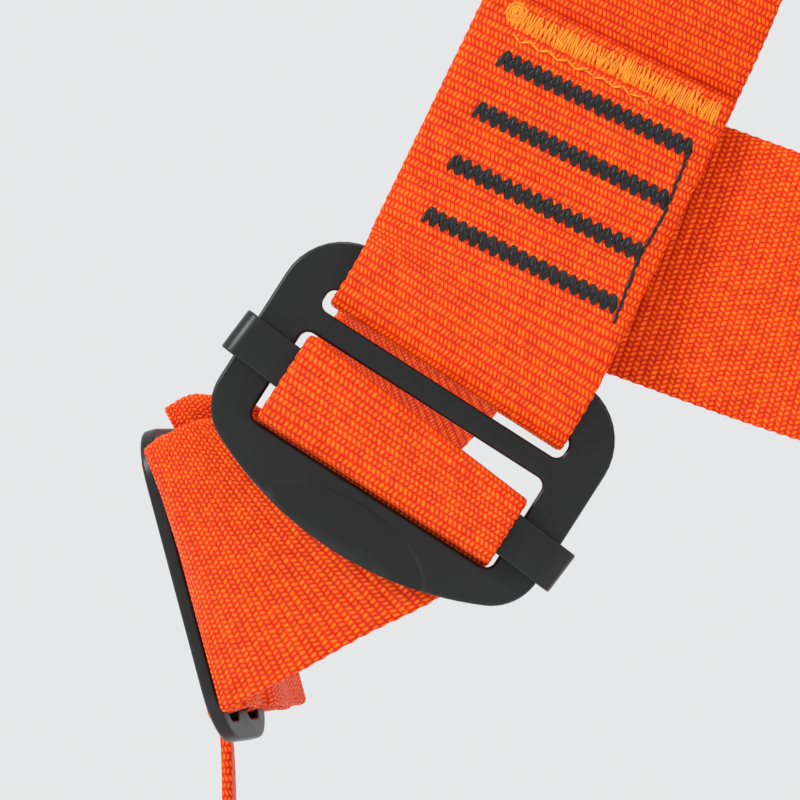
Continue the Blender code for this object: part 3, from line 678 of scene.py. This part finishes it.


# the darkest orange is painted shade in the weave's gaps, the brightest a painted highlight on the float
# tops
orangeGapShade, orangeMiddle, orangeTopHighlight = (0.5, 0.016, 0.0005), (0.9, 0.052, 0.001), (1.0, 0.175, 0.006)
orangeWeb = webbingMaterial("orangeWebbing", orangeGapShade, orangeMiddle, orangeTopHighlight, 1.3, 0.74, 0.45, 0.25)
ribbedWeb = webbingMaterial("ribbedWebbing", orangeGapShade, orangeMiddle, orangeTopHighlight, 1.05, 0.88, 0.35, 0.9)
# each second colour is a painted highlight on sharp edges
blackSteel = hardMaterial("blackSteel", (0.006, 0.006, 0.0065, 1), (0.07, 0.07, 0.075, 1), 0.36, 0.0, 0.4)
ringSteel = hardMaterial("platedSteel", (0.5, 0.5, 0.52, 1), (0.75, 0.75, 0.76, 1), 0.3, 1.0, 0.4)
blackPlastic = hardMaterial("mouldedPlastic", (0.016, 0.016, 0.017, 1), (0.05, 0.05, 0.05, 1), 0.5, 0.0,
                            0.3)
blackThread = threadMaterial("blackThread", (0.002, 0.002, 0.0025), (0.012, 0.012, 0.015), 0.3)
amberThread = threadMaterial("amberThread", (0.55, 0.12, 0.004), (0.95, 0.33, 0.012), 0.4)
# the darkest grey is painted shade in the weave's gaps, the lightest a painted highlight on the float tops
coverCloth = webbingMaterial("coverCloth", (0.02, 0.02, 0.024), (0.045, 0.045, 0.05),
                             (0.075, 0.075, 0.08), 0.5, 0.5, 0.1, 0.1, 0.3)
print("materials made")


# metres, apart from across and up, which are millimetres from the plate's centre
view = {"distance": 1.8, "across": -1.15, "up": 5.6, "span": 0.1309, "sensor": 36.0,
        "sky": (0.86, 0.875, 0.88, 1.0), "skyStrength": 0.92, "floorSize": 8.0, "floorDrop": 0.06}
lamps = (("softboxLeft", (-1.7, -1.2, 0.9), 0.7, 34.0), ("softboxRight", (1.5, -1.3, 0.4), 1.0, 8.0),
         ("softboxTop", (0.1, -0.5, 1.9), 0.9, 22.0))  # place, width, watts


def studio():
    camera = bpy.data.cameras.new("camera")
    camera.sensor_width = view["sensor"]
    camera.lens = view["sensor"] * view["distance"] / view["span"]
    camera.clip_end = 20.0
    eye = newObject("camera", camera)
    aim = (place["hip"] + Vector((view["across"], 0, view["up"]))) * mm
    eye.location = aim + Vector((0, -view["distance"], 0))
    eye.rotation_euler = (math.radians(90), 0, 0)
    bpy.context.scene.camera = eye
    world = bpy.data.worlds.new("studio")
    bpy.context.scene.world = world
    world.use_nodes = True
    background = world.node_tree.nodes["Background"]
    background.inputs[0].default_value = view["sky"]
    background.inputs[1].default_value = view["skyStrength"]
    for name, spot, size, power in lamps:
        light = bpy.data.lights.new(name, "AREA")
        light.shape = "DISK"
        light.size = size
        light.energy = power
        lamp = newObject(name, light)
        lamp.location = spot
        lamp.rotation_euler = (aim - Vector(spot)).to_track_quat("-Z", "Y").to_euler()
    bpy.ops.mesh.primitive_plane_add(size=view["floorSize"],
                                     location=(0, 0, cadBox[0][2] - view["floorDrop"]))
    floor = bpy.context.object
    floor.name = "floor"
    pale, _, _ = newMaterial("paleFloor", 0.7, fixed={"Base Color": (0.82, 0.83, 0.835, 1)})
    floor.data.materials.append(pale)
    bpy.context.scene.view_settings.view_transform = "Standard"


studio()
print("studio ready")


def arc(cx, cy, radius, start, end, steps=10):
    found = []
    for i in range(steps + 1):
        angle = math.radians(start + (end - start) * i / steps)
        found.append((cx + radius * math.cos(angle), cy + radius * math.sin(angle)))
    return found


def roundedBox(x0, x1, y0, y1, radius, steps=8):
    corners = ((x1 - radius, y1 - radius, 90), (x1 - radius, y0 + radius, 0),
               (x0 + radius, y0 + radius, -90), (x0 + radius, y1 - radius, 180))
    return [point for x, y, start in corners for point in arc(x, y, radius, start, start - 90, steps)]


def adjusterOutline():
    shoulderX, shoulderY = plate["halfWidth"] - plate["corner"], plate["top"] - plate["corner"]
    footY = plate["footRadius"] - plate["top"]
    cornerX = plate["halfWidth"] - plate["footCorner"]
    reach = plate["footRadius"] - plate["footCorner"]
    cornerY = footY - math.sqrt(reach ** 2 - cornerX ** 2)
    turn = math.degrees(math.atan2(cornerY - footY, cornerX))
    return (arc(shoulderX, shoulderY, plate["corner"], 90, 0)
            + arc(cornerX, cornerY, plate["footCorner"], 0, turn)
            + arc(0, footY, plate["footRadius"], turn, -180 - turn, 24)[1:]
            + arc(-cornerX, cornerY, plate["footCorner"], -180 - turn, -180)[1:]
            + arc(-shoulderX, shoulderY, plate["corner"], 180, 90))


def plateMesh(name, spot, outlines, thick, mirror=False):
    # outer outline first, then the slots; the bevel stays inside the outline
    edge = plate["edge"]
    curve = bpy.data.curves.new(name, "CURVE")
    curve.dimensions = "2D"
    curve.fill_mode = "BOTH"
    curve.extrude = (thick / 2 - edge) * mm
    curve.bevel_depth = edge * mm
    curve.bevel_resolution = 3
    curve.offset = -edge * mm
    for outline in outlines:
        spline = curve.splines.new("POLY")
        spline.points.add(len(outline) - 1)
        for point, (x, y) in zip(spline.points, outline):
            point.co = (x * mm, y * mm, 0.0, 1.0)
        spline.use_cyclic_u = True
    mesh = plainMesh(newObject(name + "Flat", curve))
    mesh.transform(spot.matrix())
    return closeMesh(mesh, mirror)


def closeMesh(mesh, mirror=False):
    shape = bmesh.new()
    shape.from_mesh(mesh)
    bmesh.ops.remove_doubles(shape, verts=shape.verts, dist=0.005 * mm)
    intoMesh(shape, mesh, mirror)
    mesh.shade_smooth()
    mesh.set_sharp_from_angle(angle=math.radians(38))
    return mesh


def ovalCutter(spot, mirror):
    # a shallow oval with a sloping wall, from a cone of unit size
    shape = bmesh.new()
    across, along = plate["ovalRadii"]
    height, floorRadius, flare = 3.0, 0.985, 1.344
    bmesh.ops.create_cone(shape, cap_ends=True, segments=96, radius1=floorRadius,
                          radius2=floorRadius * flare, depth=1)
    for vert in shape.verts:
        z = plate["thick"] / 2 - plate["ovalDepth"] + (vert.co.z + 0.5) * height
        vert.co = spot.at(plate["ovalCentre"][0] + vert.co.x * across,
                          plate["ovalCentre"][1] + vert.co.y * along, z) * mm
    mesh = bpy.data.meshes.new("ovalCutter")
    intoMesh(shape, mesh, mirror)
    return newObject("ovalCutter", mesh)


def sunkOval(mesh, spot, mirror):
    base = newObject("plateBlank", mesh)
    cutter = ovalCutter(spot, mirror)
    cut = base.modifiers.new("oval", "BOOLEAN")
    cut.operation = "DIFFERENCE"
    cut.object = cutter
    done = plainMesh(base)
    bpy.data.objects.remove(cutter)
    done.shade_smooth()
    done.set_sharp_from_angle(angle=math.radians(25))
    return done


def adjusterPlates():
    slots = [roundedBox(-plate["slotHalf"], plate["slotHalf"], low, high, plate["slotCorner"])
             for low, high in (plate["loopSlot"], plate["barSlot"])]
    for prefix, spot in (("", hipSpot), ("leg_", legSpot)):
        for side, mirror in (("right", False), ("left", True)):
            node = f"{prefix}adjuster_plate_{side}"
            mesh = plateMesh(node, spot, [adjusterOutline()] + slots, plate["thick"], mirror=mirror)
            mesh = sunkOval(mesh, spot, mirror)
            addHard(f"{prefix}plate_{side}", mesh, rootBody, node)


def addHard(name, mesh, body, node):
    addPiece(name, mesh, blackSteel, body, [node])


def sidePlates():
    size = sidePlateSize
    half, depth, length = size["halfWidth"], size["halfDepth"], plate["slotHalf"]
    outlines = [roundedBox(-half, half, -depth, depth, size["corner"])]
    for low, high in (size["frontSlot"], size["rearSlot"]):
        outlines.append(roundedBox(-length, length, low, high, plate["slotCorner"]))
    for side, mirror in (("right", False), ("left", True)):
        mesh = plateMesh(f"sidePlate{side}", sideSpot, outlines, size["thick"], mirror=mirror)
        addHard(f"side_plate_shell_{side}", mesh, rootBody, f"side_plate_{side}")


def chestBuckle():
    length = plate["slotHalf"]
    low, far = buckle["tongueBar"]
    half = buckle["tongueHalf"]
    outlines = [roundedBox(-half, half, -buckle["tongueRight"], far, buckle["tongueCorner"]),
                roundedBox(-length, length, low - buckle["slot"], low, plate["slotCorner"])]
    mesh = plateMesh("tongue", tongueSpot, outlines, plate["thick"])
    addHard("buckle_tongue_shell", mesh, "chest_tongue", "chest_buckle_tongue")
    low, far = buckle["frameBar"]
    half, window = buckle["frameHalf"], buckle["windowHalf"]
    outlines = [roundedBox(-half, half, buckle["frameLeft"], far, buckle["frameCorner"]),
                roundedBox(-window, window, *buckle["window"], buckle["windowCorner"]),
                roundedBox(-length, length, low - buckle["slot"], low, plate["slotCorner"])]
    mesh = plateMesh("buckleFrame", frameSpot, outlines, plate["thick"])
    addHard("buckle_frame_shell", mesh, rootBody, "chest_buckle_frame")


def floatingBars():
    half = [(0.0, bar["front"]), (bar["reach"] / 2, bar["front"])]
    inner = bar["reach"] - bar["radius"]
    half.append((inner - 0.8, bar["front"]))  # keeps the long run straight up to the bend
    half += arc(inner, bar["front"] - bar["radius"], bar["radius"], 90, 0, 8)
    half += arc(inner, bar["back"] + bar["radius"], bar["radius"], 0, -90, 8)
    half.append((bar["turnIn"], bar["back"]))
    profile = [(-x, z) for x, z in half[::-1]] + half[1:]
    for prefix, key in (("", "hip"), ("leg_", "leg")):
        spot = barSpot[key]
        route = [(spot.at(x, 0, z), "side", spot.way(0, 1)) for x, z in profile]
        for side, turn in sideways:
            mesh = stripMesh(f"{prefix}bar_{side}", turn(route))
            node = f"{prefix}floating_bar_{side}"
            addHard(f"{prefix}bar_strip_{side}", mesh, node, node)


def stripMesh(name, route):
    # a bent metal strip with rounded edges
    data = sampleRoute(route, bar["step"])
    halfW, halfT, edge = bar["width"] / 2, bar["thick"] / 2, bar["edge"]
    section = np.array(roundedBox(-halfW, halfW, -halfT, halfT, edge, 4))
    return closeMesh(skinMesh(name, rings(data, section[:, 0], section[:, 1])))


adjusterPlates()
sidePlates()
chestBuckle()
floatingBars()
print("plates and bars made")

strapData = {}


def addStrap(name, route, node, material, step, **size):
    mesh, strapData[name] = strapMesh(name, route, step, **size)
    addPiece(name, mesh, material, rootBody, [node])


fine, coarse = strapLook["fine"], strapLook["coarse"]
for side, turn in sideways:
    # the left strap crosses over the right one between the shoulders
    layer = 0.0 if side == "right" else plyPitch + web["crossGap"]
    addStrap(f"shoulder_web_{side}", turn(mainStrapRoute(layer)), f"main_strap_{side}", orangeWeb, fine)
    addStrap(f"riser_web_{side}", turn(riserRoute()), f"leg_riser_{side}", orangeWeb, coarse)
    addStrap(f"thigh_web_{side}", turn(legStrapRoute()), f"leg_strap_{side}", orangeWeb, coarse)
    addStrap(f"thigh_tail_web_{side}", turn(legTailRoute()), f"leg_tail_{side}", orangeWeb, coarse)
    addStrap(f"side_tail_web_{side}", turn(sideTailRoute()), f"side_tail_{side}", orangeWeb, fine)
tongueRoute = chestStrapRoute(tongueSpot, *buckle["tongueBar"], 1, (-55.0, -85.0, -312.8))
frameRoute = chestStrapRoute(frameSpot, *buckle["frameBar"], -1, (-52.0, -87.0, -313.8))
addStrap("chest_web_right", tongueRoute, "chest_strap_right", ribbedWeb, fine)
addStrap("chest_web_left", frameRoute, "chest_strap_left", ribbedWeb, fine)
addStrap("seat_web", seatStrapRoute(), "seat_strap", orangeWeb, coarse)
addStrap("ring_web", ringLoopRoute(), "ring_loop", orangeWeb, fine)
wrapBlend = {"start": -13.5, "end": -9.0}  # up the plate, from the webbing's side to the bar's side; the ends found here are not used
for side, turn in sideways:
    for prefix, spot in (("", hipSpot), ("leg_", legSpot)):
        route, nodes = wrapRoute(spot), [f"{prefix}bar_wrap_{side}"]
        step = strapLook["legWrap"]
        if spot is hipSpot:
            # the wrap and the side strap are one length of webbing
            route, step = route + sideStrapRoute(), strapLook["wrap"]
            nodes.append(f"side_strap_{side}")
        name = f"{prefix}wrap_web_{side}"
        mesh, _ = strapMesh(name, turn(route), step)
        piece = addPiece(name, mesh, ribbedWeb, None, nodes)
        ends = turn([(spot.at(0, wrapBlend[key]), "side", spot.x) for key in ("start", "end")])
        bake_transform(piece)
cover = {"lift": 3.2, "width": 47.0, "thick": 3.0, "step": 1.5, "hemReach": 21.5, "hemInset": 2.5,
         "hemLift": 0.6}
coverRoute = shifted(mirrorRoute(shoulderRoute()[2:5]), halfWeb + cover["lift"])
addStrap("label_cover_cloth", coverRoute, "label_cover", coverCloth, cover["step"], width=cover["width"],
         thick=cover["thick"])
print("straps made")

# one throw of each thread in millimetres, and how it is repeated
zigzag = {"length": 4.3, "width": 1.12, "height": 0.55, "strands": 3, "twist": 5.0, "point": 0.8,
          "sink": 0.5, "pitch": 1.8, "throw": 3.6, "lift": 0.16}
overlock = {"length": 4.4, "width": 0.42, "height": 0.36, "strands": 2, "twist": 3.0, "point": 0.4,
            "sink": 0.3, "pitch": 0.4, "slant": 0.16, "lift": 0.12}
runner = {"length": 2.6, "width": 0.62, "height": 0.42, "strands": 2, "twist": 9.0, "point": 0.5,
          "sink": 0.2, "pitch": 2.0, "lift": 0.1}
chain = {"length": 2.3, "width": 0.4, "height": 0.34, "strands": 2, "twist": 5.0, "point": 0.5,
         "sink": 0.2, "pitch": 1.7, "lift": 0.1}


def threadObject(name, size):
    # one throw of plied thread along X, its ends dipping into the cloth
    lengthwise, around = 12, 10
    verts, faces = [], []
    for i in range(lengthwise + 1):
        t = i / lengthwise
        taper = max(0.1, math.sin(math.pi * t) ** size["point"])
        dip = size["sink"] * abs(2 * t - 1) ** 3
        for k in range(around):
            angle = 2 * math.pi * k / around
            lobe = 1 + 0.16 * math.cos(size["strands"] * angle + size["twist"] * t)
            verts.append(((t - 0.5) * size["length"],
                          math.sin(angle) * size["width"] / 2 * taper * lobe,
                          math.cos(angle) * size["height"] / 2 * taper * lobe - dip))
    for i in range(lengthwise):
        for k in range(around):
            here, beside = i * around + k, i * around + (k + 1) % around
            faces.append((here, beside, beside + around, here + around))
    faces.append(tuple(range(around))[::-1])
    faces.append(tuple(lengthwise * around + k for k in range(around)))
    mesh = bpy.data.meshes.new(name)
    mesh.from_pydata([tuple(c * mm for c in v) for v in verts], [], faces)
    fixOutward(mesh)
    mesh.shade_smooth()
    return newObject(name, mesh)


def stitchTree():
    tree = bpy.data.node_groups.new("stitchRows", "GeometryNodeTree")
    sockets = (("Geometry", "NodeSocketGeometry"), ("Thread", "NodeSocketObject"),
               ("Finish", "NodeSocketMaterial"), ("Turn", "NodeSocketFloat"),
               ("Growth", "NodeSocketFloat"), ("Seed", "NodeSocketInt"))
    for label, kind in sockets:
        tree.interface.new_socket(name=label, in_out="INPUT", socket_type=kind)
    tree.interface.new_socket(name="Geometry", in_out="OUTPUT", socket_type="NodeSocketGeometry")
    wire = Wiring(tree)
    given, result = wire.node("NodeGroupInput"), wire.node("NodeGroupOutput")
    thread = wire.node("GeometryNodeObjectInfo", {"Object": given.outputs["Thread"]})
    ways = {}
    for label in ("along", "face"):
        read = wire.node("GeometryNodeInputNamedAttribute", {"Name": label}, data_type="FLOAT_VECTOR")
        ways[label] = read.outputs["Attribute"]
    aimed = wire.node("FunctionNodeAxesToRotation", {0: ways["face"], 1: ways["along"]},
                      primary_axis="Z", secondary_axis="X")
    wobble = wire.node("FunctionNodeRandomValue",
                       {0: (-0.3, -0.2, -1.0), 1: (0.3, 0.2, 1.0), "Seed": given.outputs["Seed"]},
                       data_type="FLOAT_VECTOR")
    scaled = wire.node("ShaderNodeVectorMath", {0: wobble.outputs[0], "Scale": given.outputs["Turn"]},
                       operation="SCALE")
    turned = wire.node("FunctionNodeRotateRotation", {0: aimed.outputs[0], 1: scaled.outputs[0]},
                       rotation_space="LOCAL")
    least, most = (sign(1.0, given.outputs["Growth"]) for sign in (wire.minus, wire.plus))
    growth = wire.node("FunctionNodeRandomValue",
                       {2: least, 3: most, "Seed": wire.plus(given.outputs["Seed"], 7.0)},
                       data_type="FLOAT")
    placed = wire.node("GeometryNodeInstanceOnPoints",
                       {"Points": given.outputs["Geometry"], "Instance": thread.outputs["Geometry"],
                        "Rotation": turned.outputs[0], "Scale": growth.outputs[1]})
    solid = wire.node("GeometryNodeRealizeInstances", {0: placed.outputs[0]})
    finish = wire.node("GeometryNodeSetMaterial",
                       {"Geometry": solid.outputs[0], "Material": given.outputs["Finish"]})
    wire.feed(result.inputs[0], finish.outputs[0])
    return tree


stitchNodes = stitchTree()


def growStitches(name, throws, thread, material, turn, growth, seed):
    # throws: (place, way along, way out); gives a plain mesh
    mesh = bpy.data.meshes.new(name + "Points")
    mesh.from_pydata([tuple(p * mm) for p, _, _ in throws], [], [])
    for label, column in (("along", 1), ("face", 2)):
        layer = mesh.attributes.new(label, "FLOAT_VECTOR", "POINT")
        layer.data.foreach_set("vector", [c for t in throws for c in t[column]])
    base = newObject(name + "Points", mesh)
    grow = base.modifiers.new("stitches", "NODES")
    grow.node_group = stitchNodes
    values = {"Thread": thread, "Finish": material, "Turn": turn, "Growth": growth, "Seed": seed}
    for item in stitchNodes.interface.items_tree:
        if item.in_out == "INPUT" and item.name in values:
            grow[item.identifier] = values[item.name]
    base.update_tag()
    return plainMesh(base)


def onStrap(data, across, run, towards, lift):
    # a place on the strap's face that looks the given way, with its width and length ways
    index = min(max(int(np.searchsorted(data["run"], run)), 1), len(data["run"]) - 1)
    r0, r1 = data["run"][index - 1], data["run"][index]
    t = (run - r0) / (r1 - r0)
    pick = {key: Vector(data[key][index - 1]).lerp(Vector(data[key][index]), t)
            for key in ("at", "side", "forward", "face")}
    out = pick["face"].normalized()
    if out.dot(towards) < 0:
        out = -out
    spot = pick["at"] + pick["side"] * across + out * (halfWeb + lift)
    return spot, pick["side"].normalized(), pick["forward"].normalized(), out


def zigzagRow(data, run, start, end, towards):
    throws, count = [], round(abs(end - start) / zigzag["pitch"] * 2)
    step = (end - start) / count
    for i in range(count):
        spot, side, forward, out = onStrap(data, start + step * (i + 0.5), run, towards, zigzag["lift"])
        sign = 1 if i % 2 else -1
        throws.append((spot, (side * step + forward * zigzag["throw"] * sign).normalized(), out))
    return throws


def threadRun(data, marks, size, towards, weave=0.0):
    # throws end to end along a line of (across, run) marks
    throws, sign = [], 1
    for (a0, r0), (a1, r1) in zip(marks, marks[1:]):
        count = max(1, round(math.dist((a0, r0), (a1, r1)) / size["pitch"]))
        for i in range(count):
            t = (i + 0.5) / count
            here = (a0 + (a1 - a0) * t, r0 + (r1 - r0) * t)
            spot, side, forward, out = onStrap(data, *here, towards, size["lift"])
            line = (side * (a1 - a0) + forward * (r1 - r0)).normalized()
            throws.append((spot, (line + line.cross(out) * weave * sign).normalized(), out))
            sign = -sign
    return throws


def overlockRow(data, run, start, end, towards):
    throws, count = [], round(abs(end - start) / overlock["pitch"])
    for i in range(count):
        across = start + (end - start) * (i + 0.5) / count
        spot, side, forward, out = onStrap(data, across, run, towards, overlock["lift"])
        lean = overlock["slant"] * (0.7 if i % 2 else -0.5)
        throws.append((spot, (forward + side * lean).normalized(), out))
    return throws


threads = {}
for kind, size in (("zigzag", zigzag), ("overlock", overlock), ("runner", runner), ("chain", chain)):
    threads[kind] = threadObject(kind + "Thread", size)
# distances along each strap, and across it from its middle
frontTack = {"runs": (10.25, 19.45, 29.05, 38.7), "start": -15.6, "end": 19.0,
             "runner": ((18.9, 10.4), (19.6, 22.0), (19.0, 30.0), (19.9, 41.5)),
             "band": 3.1, "bandEnds": (-17.0, 20.6), "chainRun": 6.2, "chainEnds": (-15.5, 9.5),
             "knot": (-16.4, 2.5), "knotRadii": (0.6, 1.1, 1.65), "knotSides": 9}
tacks = {"half": 17.0, "riserTop": (7.0, 16.0), "riserEnd": (25.0, 16.0), "leg": (5.0, 12.0),
         "chest": (9.0, 13.5), "seat": (6.0, 15.0)}


def addStitches(name, throws, thread, material, turn, growth, seed):
    mesh = growStitches(name, throws, threads[thread], material, turn, growth, seed)
    addPiece(name, mesh, material, rootBody)


def knotMarks(radius):
    across, run = frontTack["knot"]
    sides = frontTack["knotSides"]
    turns = [math.tau * i / sides for i in range(sides + 1)]
    return [(across + radius * math.cos(a), run + radius * math.sin(a)) for a in turns]


def frontTacks():
    front, edge = Vector((0, -1, 0)), frontTack
    for side, flip in (("right", 1), ("left", -1)):
        data = strapData[f"shoulder_web_{side}"]
        # the width way as it runs at the sewn end, towards the wearer's middle or away from it
        way = 1 if data["side"][20][0] * flip > 0 else -1
        black = []
        for run in edge["runs"]:
            black += zigzagRow(data, run, edge["start"] * way, edge["end"] * way, front)
        addStitches(f"tack_thread_{side}", black, "zigzag", blackThread, 0.06, 0.06, 3)
        marks = [(a * way, r) for a, r in edge["runner"]]
        throws = threadRun(data, marks, runner, front, 0.08)
        addStitches(f"runner_thread_{side}", throws, "runner", blackThread, 0.1, 0.05, 5)
        start, end = (a * way for a in edge["bandEnds"])
        throws = overlockRow(data, edge["band"], start, end, front)
        addStitches(f"overlock_thread_{side}", throws, "overlock", amberThread, 0.2, 0.2, 11)
        marks = [(a * way, edge["chainRun"]) for a in edge["chainEnds"]]
        throws = threadRun(data, marks, chain, front, 0.35)
        for radius in edge["knotRadii"]:
            marks = [(a * way, r) for a, r in knotMarks(radius)]
            throws += threadRun(data, marks, chain, front)
        addStitches(f"chain_thread_{side}", throws, "chain", amberThread, 0.2, 0.1, 17)


def nearestRun(data, place):
    gap = np.linalg.norm(data["at"] - np.array(tuple(place)), axis=1)
    return float(data["run"][int(gap.argmin())])


def addTack(name, data, runs, towards):
    black = []
    for run in runs:
        black += zigzagRow(data, run, -tacks["half"], tacks["half"], towards)
    addStitches(name, black, "zigzag", blackThread, 0.06, 0.06, 23)


def otherTacks():
    rear, front = Vector((0, 1, 0)), Vector((0, -1, 0))
    for side, outward in (("right", Vector((-1, 0, 0))), ("left", Vector((1, 0, 0)))):
        riser = strapData[f"riser_web_{side}"]
        runs = tacks["riserTop"] + tuple(riser["run"][-1] - back for back in tacks["riserEnd"])
        addTack(f"riser_tack_{side}", riser, runs, outward)
        addTack(f"leg_tack_{side}", strapData[f"thigh_web_{side}"], tacks["leg"], front)
    for side, spot, far in (("right", tongueSpot, buckle["tongueBar"][1]),
                            ("left", frameSpot, buckle["frameBar"][1])):
        data = strapData[f"chest_web_{side}"]
        runs = [nearestRun(data, spot.at(0.2, far + reach, 2.0)) for reach in tacks["chest"]]
        addTack(f"chest_tack_{side}", data, runs, front)
    seat = strapData["seat_web"]
    runs = tacks["seat"] + tuple(seat["run"][-1] - back for back in tacks["seat"][::-1])
    addTack("seat_tack", seat, runs, rear)


def coverHem():
    data = strapData["label_cover_cloth"]
    reach, inset = cover["hemReach"], cover["hemInset"]
    end = float(data["run"][-1]) - inset
    marks = [(-reach, inset), (reach, inset), (reach, end), (-reach, end), (-reach, inset)]
    throws = threadRun(data, marks, chain, Vector((0, -1, 0)))
    raised = [(spot + out * cover["hemLift"], way, out) for spot, way, out in throws]
    addStitches("cover_hem", raised, "chain", blackThread, 0.05, 0.05, 29)


frontTacks()
otherTacks()
coverHem()
for thing in threads.values():
    bpy.data.objects.remove(thing)
print("stitches made")

# CAD nodes whose shape is right get a finer finish
for node, material in (("dorsal_plate", blackPlastic), ("dorsal_ring", ringSteel),
                       ("leg_keeper_right", blackPlastic), ("leg_keeper_left", blackPlastic)):
    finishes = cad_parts[node].data.materials
    finishes.clear()
    finishes.append(material)
